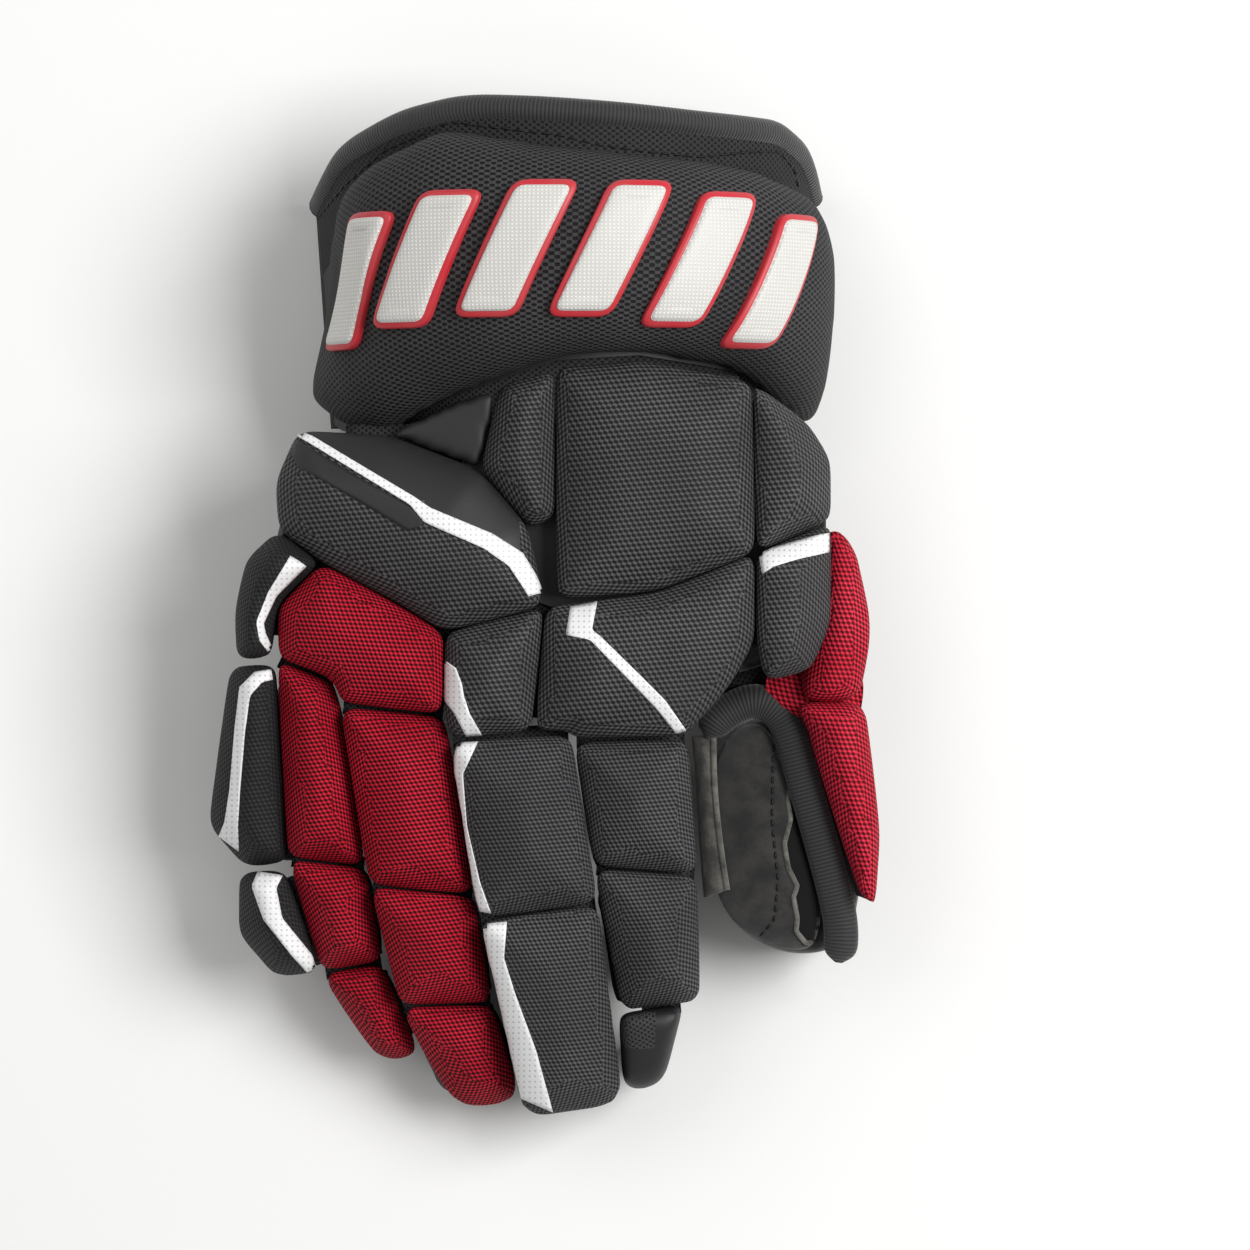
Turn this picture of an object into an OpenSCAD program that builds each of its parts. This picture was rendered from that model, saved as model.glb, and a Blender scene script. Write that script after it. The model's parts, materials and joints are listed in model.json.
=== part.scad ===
// Ice hockey glove for the right hand, lying palm down on a table.
// X points to the thumb side, Y to the cuff and Z up out of the back of the hand.
// The pads share a network of seams: each pad is drawn in from its seams by half a seam gap.

/* [Fingers] */
// Lean of the fingers towards the thumb, in degrees
finger_yaw = 9; // [7:0.5:11]
// Sideways place of the line between index and middle finger
finger_split = 2.2; // [0:0.1:4]
// Free gap between neighbouring fingers
finger_gap = 0.9; // [0.7:0.1:2]
// Index finger: places of its folds along the finger, knuckle to tip
index_folds = [-49.3, -94.4, -142, -170]; // [-200:0.1:0]
// Index finger: widths at its folds
index_widths = [38, 34, 27, 17]; // [10:0.5:50]
// Middle finger: places of its folds, knuckle to tip
middle_folds = [-42, -102.3, -173]; // [-200:0.1:0]
// Middle finger: widths at its folds
middle_widths = [40.5, 40.5, 34]; // [10:0.5:50]
// Ring finger: places of its folds, knuckle to tip
ring_folds = [-27, -89.3, -130, -165.5]; // [-200:0.1:0]
// Ring finger: widths at its folds
ring_widths = [34.3, 34.3, 31, 19]; // [10:0.5:50]
// Little finger: places of its folds, knuckle to tip
little_folds = [-9, -75, -112.4, -144]; // [-200:0.1:0]
// Little finger: widths at its folds
little_widths = [18, 25.4, 21, 12]; // [10:0.5:50]
// Drop of each row of the curled fingers per millimetre of length
row_slopes = [0.14, 0.38, 0.5]; // [0.05:0.01:0.7]
// Thickness of the pads in each row
row_rises = [19, 18, 16]; // [10:0.5:24]
// How far a finger stall hangs below its pad at the knuckle
stall_depth = 30; // [26:0.5:34]
// Wall of the stalls
stall_wall = 1.6; // [1:0.1:2.5]
// Half angle of the notch that lets a stall bend, in degrees
notch_angle = 22; // [18:0.5:24]
// Width of the side pads beside the little finger
side_pad_w = 22; // [18:0.5:24]

/* [Back of the hand] */
// Height of the plane on which the back pads sit
back_z = 66; // [60:0.5:72]
// Thickness of the back pads
back_rise = 20; // [14:0.5:24]
// Gap between two pads sewn side by side
seam_gap = 0.6; // [0.5:0.05:1.2]
// Gap between two pads across a finger fold
fold_gap = 1.1; // [1:0.1:2]
// Clearance between stacked pieces
layer_gap = 0.4; // [0.3:0.05:0.6]
// Seam between the main pad and the thumb side rolls
thumb_seam_x = 71.5; // [68:0.5:74]
// Seam between the wedge pad and the main pad
wedge_seam_x = 4; // [2:0.5:6]
// Outer edge of the thumb side rolls
thumb_edge_x = 97.5; // [94:0.5:99]
// Outer edge of the roll on the little finger side
outer_edge_x = -92; // [-95:0.5:-88]
// Where the main pad meets the cuff
wrist_y = 83; // [80:0.5:85]
// Sideways fall of the outer roll and of the red knuckle roll per millimetre
outer_fall = 0.14; // [0.08:0.01:0.2]
// Sideways fall of the thumb side rolls per millimetre
thumb_fall = 0.5; // [0.3:0.02:0.6]
// Thickness of the hard plate under the back pads
plate_t = 1.6; // [1:0.1:2.5]
// Thickness of the hand liner
liner_t = 3.4; // [2:0.1:5]

/* [Palm] */
// Thickness of the palm leather
palm_t = 2.4; // [1.5:0.1:3]
// Length of the heel that lies flat on the table
heel_l = 40; // [30:1:45]
// Rear edge of the heel
heel_y = 85; // [80:1:90]
// Half width of the palm
palm_half_w = 60; // [54:1:64]
// Height of the palm at its front edge
palm_front_z = 30; // [24:0.5:32]
// Distance from the palm's front edge to the finger folds
palm_setback = 14; // [13:0.5:18]
// Thickness of the second layer on the palm
overlay_t = 1.4; // [0.8:0.1:2]

/* [Cuff] */
// Radius of the cuff's arch at the wrist
cuff_r = 84; // [80:0.5:87]
// Growth of the arch's radius per millimetre towards the rim
cuff_flare = 0.07; // [0.04:0.01:0.1]
// Height of the arch's crown above the plane of the back pads
cuff_over = 8; // [6:0.5:10]
// Sideways place of the arch's centre
cuff_centre_x = 6.5; // [3:0.5:9]
// Where the cuff begins at the wrist
cuff_start_y = 59; // [58:0.5:62]
// Length of the cuff from the wrist to the highest point of its rim
cuff_l = 86; // [80:0.5:100]
// Height of the cuff's lower edges above the table
cuff_hem_z = 6; // [3:0.5:12]
// Thickness of the cuff lining
cuff_lining_t = 4.5; // [3:0.5:6]
// Thickness of the padded roll
cuff_rise = 21; // [14:0.5:24]
// Half of the angle that the padded roll spans, in degrees
cuff_half_angle = 72; // [66:0.5:75]
// Radius of the rolled binding round the rim
binding_r = 4.4; // [3:0.1:5]

/* [Raised bars] */
// Number of raised bars across the cuff
bar_count = 6; // [4:1:8]
// Width of a bar
bar_w = 21; // [12:0.5:23]
// Length of a bar
bar_l = 46; // [28:1:48]
// Slant of a bar, in degrees
bar_slant = 24; // [0:1:30]
// Height of a bar above the roll
bar_rise = 4; // [2:0.5:6]

/* [Thumb] */
// Height of the thumb stall's floor
thumb_floor_z = 5; // [2:0.5:8]
// Height of the thumb stall
thumb_h = 32; // [26:0.5:34]
// Wall of the thumb stall
thumb_wall = 2; // [1.4:0.1:3]
// Fold between the upper and the lower thumb pad
thumb_fold_y = -31; // [-33:0.5:-29]
// Thickness of the red thumb pads
thumb_rise = 21; // [14:0.5:24]
// Thickness of the suede thumb face
thumb_face_rise = 8; // [5:0.5:10]
// Radius of the binding on the thumb
thumb_binding_r = 5; // [3.5:0.1:5.2]
// Half of the gap between the two thumb pads at their fold
thumb_fold_gap = 1.6; // [1.5:0.1:3]

/* [Hidden] */

$fn = 64;
black = "#2e2e30";
red = "#b01c2e";
white = "#ececea";
suede = "#45433f";
lining_grey = "#1c1c1e";
plastic_grey = "#8a8d90";
corner_steps = 5;
half_seam = seam_gap / 2;
half_fold = fold_gap / 2;
tip_rest_z = 0.6;

// Share of the height and of the width of each ring of a stuffed pad, from its seam upwards
pad_rings = [[0, 0.95], [0.28, 1], [0.62, 0.975], [0.86, 0.86], [0.975, 0.58]];

// Unit vector from one point to another
function towards(a, b) = (b - a) / norm(b - a);

// Corner b between a and c as a curve that starts at most r from the corner
function corner(a, b, c, r) =
    let (d = min(r, 0.48 * norm(a - b), 0.48 * norm(c - b)))
    let (p = b + towards(b, a) * d, q = b + towards(b, c) * d)
    [for (i = [0:corner_steps - 1])
        let (t = i / (corner_steps - 1))
        p * (1 - t) * (1 - t) + b * 2 * t * (1 - t) + q * t * t];

// Polygon with every corner rounded
function rounded(pts, r) =
    let (n = len(pts))
    [for (i = [0:n - 1]) each corner(pts[(i + n - 1) % n], pts[i], pts[(i + 1) % n], r)];

function total(v, i = 0) = i == len(v) ? v[0] * 0 : v[i] + total(v, i + 1);
function centre(pts) = total(pts) / len(pts);

// Outline drawn in towards its centre by a fixed distance
function drawn_in(pts, d) = let (c = centre(pts)) [for (p = pts) p + towards(p, c) * d];

// Place on a sloping plane: height z at point o, rising sx and sy per millimetre
function on_plane(z, o, sx, sy) =
    function (p, h) [p[0], p[1], z + sx * (p[0] - o[0]) + sy * (p[1] - o[1]) + h];

// Stuffed pad: crowned on top, drawn in at its seam; place(p, h) puts outline and height in space
module pad(outline, rise, place, steps = pad_rings) {
    n = len(outline);
    c = centre(outline);
    m = len(steps);
    rings = [for (k = steps) each [for (p = outline) place(c + (p - c) * k[1], rise * k[0])]];
    sides = [for (k = [0:m - 2]) each [for (i = [0:n - 1])
        let (a = k * n + i, b = k * n + (i + 1) % n)
        each [[a, b + n, b], [a, a + n, b + n]]]];
    crown = [for (i = [0:n - 1]) [(m - 1) * n + i, n * m, (m - 1) * n + (i + 1) % n]];
    seat = [for (i = [0:n - 1]) [(i + 1) % n, n * m + 1, i]];
    polyhedron(concat(rings, [place(c, rise), place(c, 0)]), concat(sides, crown, seat));
}

// Tube of radius r along a list of points, with flat ends
module tube(path, r, sides = 8) {
    n = len(path);
    along = [for (i = [0:n - 1]) towards(path[max(i - 1, 0)], path[min(i + 1, n - 1)])];
    rings = [for (i = [0:n - 1])
        let (u = towards([0, 0, 0], cross(along[i], [0, 0, 1])), v = cross(u, along[i]))
        each [for (k = [0:sides - 1])
            path[i] + u * r * cos(360 * k / sides) + v * r * sin(360 * k / sides)]];
    skin = [for (i = [0:n - 2]) each [for (k = [0:sides - 1])
        let (a = i * sides + k, b = i * sides + (k + 1) % sides)
        each [[a, b, b + sides], [a, b + sides, a + sides]]]];
    ends = [[for (k = [sides - 1:-1:0]) k], [for (k = [0:sides - 1]) (n - 1) * sides + k]];
    polyhedron(rings, concat(skin, ends));
}

// Profile in the Y and Z plane, extruded from x0 to x1
module across(x0, x1, profile) {
    translate([x0, 0, 0]) rotate([90, 0, 90]) linear_extrude(x1 - x0) polygon(profile);
}

// Upright block over a plan outline, cut to a profile in the Y and Z plane
module slice(plan, profile) {
    reach = 150;
    intersection() {
        linear_extrude(reach) polygon(plan);
        across(-reach, reach, profile);
    }
}

// Fingers. Each finger has its folds, the two edges at every fold, and the height of its back there.
// Finger coordinates are sideways and along, turned together by finger_yaw.
function heights(folds, z, i = 0) =
    i == len(folds) - 1 ? [z]
    : concat([z], heights(folds, z - row_slopes[i] * (folds[i] - folds[i + 1]), i + 1));
function finger(folds, low, high, slants, drop) =
    [folds, low, high, slants, heights(folds, back_z - drop)];

index_low = [for (lean = [0, 0, 1.5, -2]) finger_split + finger_gap / 2 + lean];
index_high = index_low + index_widths;
middle_high = [for (lean = [0, 0, -2.5]) finger_split - finger_gap / 2 + lean];
middle_low = middle_high - middle_widths;
ring_edge = middle_low[0] - finger_gap;
ring_high = [for (lean = [0, 0, 0, 2.5]) ring_edge + lean];
ring_low = ring_high - ring_widths;
little_edge = ring_low[0] - finger_gap;
little_high = [for (lean = [0, 0, 0, 5.5]) little_edge + lean];
little_low = little_high - little_widths;

index = finger(index_folds, index_low, index_high, [-5, -8, -1, 0], 3);
middle = finger(middle_folds, middle_low, middle_high, [-4, -1, 0], 0);
ring = finger(ring_folds, ring_low, ring_high, [-9, -9, -4, 0], 6);
little = finger(little_folds, little_low, little_high, [-11, -7, 0, 0], 10.5);

module in_finger_frame() {
    rotate([0, 0, finger_yaw]) children();
}
// Finger coordinates turned into the glove's X and Y
function turned(p) = [p[0] * cos(finger_yaw) - p[1] * sin(finger_yaw),
    p[0] * sin(finger_yaw) + p[1] * cos(finger_yaw)];

function along_at(f, i, side) = f[0][i] + side * f[3][i] / 2;
function row_place(f, i) = on_plane(f[4][i], [0, f[0][i]], 0, row_slopes[i]);
function is_tip(f, i) = i == len(f[0]) - 2;
tip_round = 8;
fold_round = 4;

// Outline of one finger pad between two folds; the last one has a round tip
function row_outline(f, i) =
    let (a = [f[1][i], along_at(f, i, -1) - half_fold])
    let (b = [f[1][i + 1], along_at(f, i + 1, -1) + (is_tip(f, i) ? 0 : half_fold)])
    let (c = [f[2][i + 1], along_at(f, i + 1, 1) + (is_tip(f, i) ? 0 : half_fold)])
    let (d = [f[2][i], along_at(f, i, 1) - half_fold])
    let (r = is_tip(f, i) ? tip_round : fold_round)
    concat(corner(d, a, b, fold_round), corner(a, b, c, r), corner(b, c, d, r),
        corner(c, d, a, fold_round));

module row_pad(f, i) {
    in_finger_frame() pad(row_outline(f, i), row_rises[i], row_place(f, i));
}

// Height of the underside of a finger at a place along it, from the knuckle to the tip
function floor_z(f, along) =
    let (first = f[0][0], last = f[0][len(f[0]) - 1], start = f[4][0] - stall_depth)
    tip_rest_z + (start - tip_rest_z) * (along - last) / (first - last);

// Stall under one row: floor and two side walls, notched at both ends, closed at the finger tip
stall_inset = 1.5;
tip_lean = 4;
module stall_row(f, i) {
    a = f[0][i] - layer_gap;
    b = f[0][i + 1] + (is_tip(f, i) ? stall_inset : layer_gap);
    za = f[4][i] - layer_gap * (1 + row_slopes[i]);
    zb = f[4][i + 1] - layer_gap;
    cut = tan(notch_angle);
    a_low = a - (za - floor_z(f, a)) * cut;
    b_low = is_tip(f, i) ? b + tip_lean : b + (zb - floor_z(f, b)) * cut;
    beyond = 40;
    stop = is_tip(f, i) ? b_low + stall_wall : b - beyond;
    plan = function (d) [[f[1][i] + d, f[0][i]], [f[1][i + 1] + d, f[0][i + 1]],
        [f[2][i + 1] - d, f[0][i + 1]], [f[2][i] - d, f[0][i]]];
    in_finger_frame() difference() {
        slice(plan(stall_inset), [[a, za], [b, zb], [b_low, floor_z(f, b_low)], [a_low, floor_z(f, a_low)]]);
        slice(plan(stall_inset + stall_wall), [[a + beyond, za + beyond], [stop, za + beyond],
            [stop, floor_z(f, stop) + stall_wall], [a + beyond, floor_z(f, a + beyond) + stall_wall]]);
    }
}

// Side walls of the finger roots on the hand, from the palm up to the knuckle pads
root_l = 22;
module root_walls(f, back) {
    a = f[0][0] + layer_gap;
    b = f[0][0] + root_l;
    c = f[0][0] + palm_setback + 1;
    for (s = [f[1][0] + stall_inset, f[2][0] - stall_inset - stall_wall]) {
        side = turned([s, b]);
        foot = function (r) palm_z(turned([s, r])[1]) + palm_t + 2 * layer_gap;
        in_finger_frame() across(s, s + stall_wall, [[a, f[4][0] - layer_gap], [c, foot(c)], [b, foot(b)],
            [b, back(side, 0)[2] - 2 * layer_gap]]);
    }
}

// Index tip: leather cap without a pad of its own, closed on top
module index_cap() {
    stall_row(index, 2);
    row_pad(index, 2);
}

// Side pads of the little finger hang on its outer edge
side_fall = 0.45;
function side_outline(i, top, bottom) =
    let (e0 = little_low[i] - seam_gap, e1 = little_low[i + 1] - seam_gap)
    [[e0 - side_pad_w * 0.62, top + 1.2], [e1 - side_pad_w, bottom + 16], [e1 - side_pad_w * 0.6, bottom],
        [e1, bottom], [e0, top]];
module side_pad(i, top, bottom) {
    place = on_plane(little[4][i], [little_low[i], little_folds[i]], side_fall, row_slopes[i]);
    in_finger_frame() pad(rounded(side_outline(i, top, bottom), fold_round), row_rises[i], place);
}

// Front edge of the cuff in plan, where it meets the back of the hand
front_line = [[-83, 70], [-71, 61], [-60, 57], [-32, 71], [wedge_seam_x, wrist_y], [32, wrist_y + 2],
    [66, wrist_y - 3], [80, 72], [92, 62]];
wrist_gap = 1.7;
function cuff_edge(x) = [x, lookup(x, front_line) - wrist_gap];

// Seam corners of the back of the hand
outer_wrist = [outer_edge_x + 8, 60];
outer_mid = [outer_edge_x, 42];
outer_low = [outer_edge_x + 1, 26];
red_top = [outer_edge_x + 16, 15];
red_mid = [outer_edge_x + 43, 0];
red_low = [outer_edge_x + 1, 0];
middle_top = [wedge_seam_x - 38, -9];
knuckle_mid = [wedge_seam_x - 4, 0];
wedge_low = [wedge_seam_x - 9, 26];
wedge_left = [wedge_seam_x - 26, 46];
wrist_left = cuff_edge(outer_edge_x + 38);
wrist_mid = cuff_edge(wedge_seam_x - 19);
main_top_left = cuff_edge(wedge_seam_x);
main_low_left = [wedge_seam_x, 2];
main_top = cuff_edge(32);
main_top_right = cuff_edge(thumb_seam_x - 1);
thumb_mid = [thumb_seam_x, 18];
thumb_edge_mid = [thumb_edge_x, 29];
knuckle_right = [thumb_seam_x, -12];

back_place = on_plane(back_z, [0, 0], 0, 0);
outer_place = on_plane(back_z, [-30, 0], outer_fall, 0);
thumb_place = on_plane(back_z, [thumb_seam_x, 0], -thumb_fall, 0);

module seam_pad(pts, rise, place, r = 4) {
    pad(rounded(drawn_in(pts, half_seam), r), rise, place);
}

module backhand_outer_roll() {
    color(black) seam_pad([outer_wrist, outer_mid, outer_low, red_top, red_mid, middle_top,
        knuckle_mid, wedge_low, wedge_left, wrist_left], back_rise, outer_place);
}
module backhand_wrist_panel() {
    panel_rise = 10;
    color(black) seam_pad([wrist_left, wedge_left, wrist_mid, cuff_edge(wrist_mid[0] - 18)],
        panel_rise, outer_place);
}
module backhand_wedge() {
    color(black) seam_pad([wrist_mid, wedge_left, wedge_low, [wedge_seam_x, 30], main_top_left],
        back_rise - 3, back_place);
}
module backhand_main() {
    color(black) seam_pad([main_top, main_top_left, main_low_left, [38, 5], thumb_mid, main_top_right],
        back_rise, back_place);
}
module thumb_side_upper() {
    color(black) seam_pad([main_top_right, thumb_mid, thumb_edge_mid, [thumb_edge_x, 50],
        cuff_edge(thumb_edge_x - 8)], back_rise - 1, thumb_place);
}
module thumb_side_lower() {
    color(black) seam_pad([thumb_mid, knuckle_right, [thumb_seam_x + 3, -26], [thumb_edge_x - 7, -22],
        [thumb_edge_x, -6], thumb_edge_mid], back_rise - 1, thumb_place);
}

// Knuckle row: its front edges follow the finger folds
function fold_edge(f, side) = let (s = side < 0 ? f[1][0] : f[2][0])
    turned([s, along_at(f, 0, side) + half_fold]);
module knuckle_outer_cap() {
    color(black) seam_pad([outer_low, [outer_edge_x - 10, 16], [outer_edge_x - 14, -2],
        turned([little_low[0] - 14, -2]), turned([little_low[0] - 2, along_at(little, 0, -1) + half_fold]),
        red_low, red_top], back_rise - 1, outer_place);
}
module knuckle_red() {
    color(red) seam_pad([red_mid, red_top, red_low, fold_edge(little, -1),
        fold_edge(little, 1), fold_edge(ring, -1), fold_edge(ring, 1), middle_top],
        back_rise, outer_place);
}
module knuckle_middle() {
    color(black) seam_pad([knuckle_mid, middle_top, fold_edge(ring, 1), fold_edge(middle, -1),
        fold_edge(middle, 1) - [13, 0], [knuckle_mid[0] - 2, -20]], back_rise - 1, back_place);
}
module knuckle_index() {
    color(black) seam_pad([knuckle_mid, [knuckle_mid[0] - 2, -20], fold_edge(middle, 1) - [12, 0],
        fold_edge(middle, 1), fold_edge(index, -1), fold_edge(index, 1), [thumb_seam_x - 7, -25],
        knuckle_right, thumb_mid, [38, 5]], back_rise, back_place);
}

module finger_roots() {
    color(suede) {
        root_walls(index, back_place);
        root_walls(middle, back_place);
        root_walls(ring, outer_place);
        root_walls(little, outer_place);
    }
}

// Hard plate and liner between the back pads and the hand
plate_outline = concat([[-36, 20], [-20, 2], [6, -8], [44, -8], [thumb_seam_x - 4, 6]],
    [for (i = [6:-1:3]) front_line[i] - [0, wrist_gap]]);
plate_z = back_z - layer_gap - plate_t;
liner_z = plate_z - layer_gap - liner_t;
module backhand_plate() {
    color(plastic_grey) translate([0, 0, plate_z]) linear_extrude(plate_t)
        polygon(rounded(drawn_in(plate_outline, 6), 6));
}
module hand_liner() {
    color(lining_grey) translate([0, 0, liner_z]) linear_extrude(liner_t)
        polygon(plate_outline);
}

// Palm: flat at the heel, then rising to the fingers; its front edge keeps clear of the stalls
outer_wall_x = outer_edge_x + 11;
palm_right = [palm_half_w - 18, 0];
function palm_front(f) = turned([f[2][0], f[0][0] + palm_setback]);
palm_outline = [[-palm_half_w, heel_y], [-palm_half_w, cuff_start_y - 6], [outer_wall_x - 1, cuff_start_y - 8],
    turned([little_low[0] - 1, little_folds[0] + palm_setback]),
    palm_front(little), palm_front(ring), palm_front(middle), palm_front(index), palm_right,
    [palm_half_w, heel_y - heel_l], [palm_half_w, heel_y]];
palm_bend_y = heel_y - heel_l;
palm_front_y = -36;
function palm_z(y) = palm_front_z * max(0, palm_bend_y - y) / (palm_bend_y - palm_front_y);
module palm_sheet(low, high, outline) {
    far = 130;
    intersection() {
        linear_extrude(back_z) polygon(outline);
        across(-far, far, [[heel_y + 1, low], [palm_bend_y, low], [palm_front_y - 10,
            palm_z(palm_front_y - 10) + low], [palm_front_y - 10, palm_z(palm_front_y - 10) + high],
            [palm_bend_y, high], [heel_y + 1, high]]);
    }
}
module palm_panel() {
    color(suede) palm_sheet(0, palm_t, palm_outline);
}
module palm_overlay() {
    low = palm_t + layer_gap;
    inset = 27;
    color(suede) palm_sheet(low, low + overlay_t, drawn_in(palm_outline, inset));
}

// Side walls of the hand, between palm and back pads
gusset_t = 2;

module outer_gusset() {
    top = outer_place([outer_wall_x, 0], 0)[2] - layer_gap;
    floor = palm_t + layer_gap;
    rear = cuff_start_y - 9;
    front = 24;
    color(black) across(outer_wall_x, outer_wall_x + gusset_t,
        [[rear, top], [front, top], [front, palm_z(front) + floor], [palm_bend_y, floor], [rear, floor]]);
}
thumb_wall_x = thumb_edge_x - 8;
thumb_top_z = thumb_floor_z + thumb_h;
thumb_axis_x = thumb_edge_x + 10.5;
ear_x = thumb_axis_x - 6;
shelf_z = thumb_top_z + layer_gap;
module thumb_gusset() {
    top = thumb_place([thumb_wall_x + gusset_t, 0], 0)[2] - layer_gap;
    color(black) {
        across(thumb_wall_x, thumb_wall_x + gusset_t,
            [[50, top], [-14, top], [-24, shelf_z], [50, shelf_z]]);
        translate([0, 0, shelf_z]) linear_extrude(gusset_t) polygon([[thumb_wall_x, 24],
            [thumb_wall_x, -24], [ear_x, thumb_fold_y + layer_gap], [thumb_axis_x, thumb_fold_y + layer_gap],
            [thumb_edge_x + 10, 0], [thumb_edge_x + 4, 24]]);
    }
}

// Thumb
upper_low_y = thumb_fold_y + thumb_fold_gap;
lower_top_y = thumb_fold_y - thumb_fold_gap;
upper_place = on_plane(shelf_z + gusset_t + layer_gap, [0, 0], 0, 0);
module thumb_pad_upper() {
    color(red) pad(rounded([[thumb_edge_x + 4, 29], [thumb_edge_x + 1, 0], [thumb_edge_x - 3, upper_low_y],
        [thumb_edge_x + 11, upper_low_y], [thumb_edge_x + 14, -5], [thumb_edge_x + 10, 21]], 8),
        thumb_rise, upper_place);
}
thumb_outline = [[104, lower_top_y - 3], [72, lower_top_y - 4], [57, lower_top_y - 18], [58, -100],
    [66, -112], [79, -120], [92, -121], [104, -118], [109, -100], [109, -73]];
module thumb_stall() {
    inner = drawn_in(thumb_outline, thumb_wall * 1.4);
    color(suede) difference() {
        translate([0, 0, thumb_floor_z]) linear_extrude(thumb_h) polygon(rounded(thumb_outline, 8));
        translate([0, 0, thumb_floor_z + thumb_wall]) linear_extrude(thumb_h) polygon(rounded(inner, 7));
        translate([70, lower_top_y - 20, thumb_floor_z + thumb_wall]) cube([31, 30, thumb_h]);
    }
}
thumb_plate_z = thumb_top_z + layer_gap;
module thumb_plate() {
    ear_y = thumb_fold_y - layer_gap;
    ear_low_y = lower_top_y - 8;
    ear = [[thumb_axis_x, ear_y], [ear_x, ear_y], [ear_x, ear_low_y], [thumb_axis_x, ear_low_y]];
    color(plastic_grey) translate([0, 0, thumb_plate_z]) linear_extrude(plate_t) union() {
        polygon(drawn_in(red_outline, 1));
        polygon(ear);
    }
}
binding_line = [[61, -37], [67.7, -33], [73.8, -32.3], [80.2, -36], [84, -43], [87.4, -56], [94.2, -79],
    [101.3, -102], [102.3, -113], [99, -121]];
binding_z = thumb_top_z + thumb_binding_r + 2 * layer_gap;
module thumb_binding() {
    color(black) tube([for (p = binding_line) [p[0], p[1], binding_z]], thumb_binding_r);
}
red_side = thumb_binding_r + layer_gap + 0.4;
red_outline = concat(
    [for (i = [3, 4, 5, 6, 7]) binding_line[i] + [red_side * 0.97, red_side * 0.26]],
    [[thumb_edge_x + 13.5, -102], [thumb_edge_x + 15, -78], [thumb_edge_x + 12, -50],
    [thumb_edge_x + 10, lower_top_y], [89, lower_top_y]]);
module thumb_pad_lower() {
    place = on_plane(thumb_plate_z + plate_t + layer_gap, [0, 0], 0, 0);
    color(red) pad(rounded(red_outline, 6), thumb_rise, place);
}
face_side = thumb_binding_r + layer_gap + 0.4;
face_outline = concat([[72, -39], [63, -44], [58, -55], [58, -99], [66, -111], [80, -118], [92, -119]],
    [for (i = [7, 6, 5, 4]) binding_line[i] - [face_side * 0.97, face_side * 0.26]]);
module thumb_face() {
    place = on_plane(thumb_top_z + layer_gap, [0, 0], 0, 0);
    color(suede) pad(rounded(face_outline, 7), thumb_face_rise, place);
}

// Cuff: an arch that widens towards the rim, with a padded roll on its back
cuff_centre_z = back_z + cuff_over - cuff_r;
function arch_r(y) = cuff_r + cuff_flare * (y - cuff_start_y);
// Lines across the cuff: sideways place, and share of the cuff's length
function along_cuff(line) = [for (p = line) [p[0], wrist_y + cuff_l * p[1]]];
back_line = along_cuff([[-83, 0.5], [-68, 0.69], [-54, 0.81], [-32, 0.92], [0, 0.85], [65, 0.78],
    [87, 0.69], [96, 0.55]]);
rim_line = along_cuff([[-84, 0.62], [-70, 0.84], [-49, 0.95], [-27, 1], [0, 0.98], [25, 0.94],
    [52, 0.91], [80, 0.895], [90, 0.81], [95, 0.66]]);
cuff_place = function (p, h)
    let (r = arch_r(p[1]) + layer_gap + plate_t + layer_gap + h)
    [cuff_centre_x + r * sin(p[0]), p[1], cuff_centre_z + r * cos(p[0])];
swell = 2.6;
function crown_at(t) = pow(max(0, 1 - pow(abs(2 * t - 1), swell)), 1 / swell);
edge_t = 1;
// Plan place of an arch angle, used to read the front and back lines
function plan_x(angle) = cuff_centre_x + (cuff_r + cuff_rise / 2) * sin(angle);
function front_at(angle) = lookup(plan_x(angle), front_line);
function back_at(angle) = lookup(plan_x(angle), back_line);
function roll_h(angle, y) =
    let (v = (y - front_at(angle)) / (back_at(angle) - front_at(angle)))
    edge_t + cuff_rise * crown_at(v) * crown_at((angle / cuff_half_angle + 1) / 2);

// Sheet between two surfaces over a grid of columns and rows
module slab(columns, rows, lower, upper) {
    w = rows + 1;
    n = (columns + 1) * w;
    pts = [for (f = [lower, upper]) each [for (i = [0:columns]) each [for (j = [0:rows])
        f(i / columns, j / rows)]]];
    quads = [for (i = [0:columns - 1]) each [for (j = [0:rows - 1]) i * w + j]];
    skin = [for (q = quads) each [[q, q + w, q + w + 1], [q, q + w + 1, q + 1],
        [n + q, n + q + w + 1, n + q + w], [n + q, n + q + 1, n + q + w + 1]]];
    long_edges = [for (i = [0:columns - 1]) let (a = i * w, b = i * w + rows)
        each [[a, n + a + w, a + w], [a, n + a, n + a + w], [b, b + w, n + b + w], [b, n + b + w, n + b]]];
    short_edges = [for (j = [0:rows - 1]) let (a = j, b = columns * w + j)
        each [[a, a + 1, n + a + 1], [a, n + a + 1, n + a], [b, n + b + 1, b + 1], [b, n + b, n + b + 1]]];
    polyhedron(pts, concat(skin, long_edges, short_edges));
}
module cuff_roll() {
    angle_at = function (t) cuff_half_angle * sin(90 * (2 * t - 1));
    y_at = function (a, t) let (v = (1 + sin(90 * (2 * t - 1))) / 2)
        front_at(a) + (back_at(a) - front_at(a)) * v;
    color(black) slab(36, 12,
        function (u, v) let (a = angle_at(u)) cuff_place([a, y_at(a, v)], 0),
        function (u, v) let (a = angle_at(u), y = y_at(a, v)) cuff_place([a, y], roll_h(a, y)));
}

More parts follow.
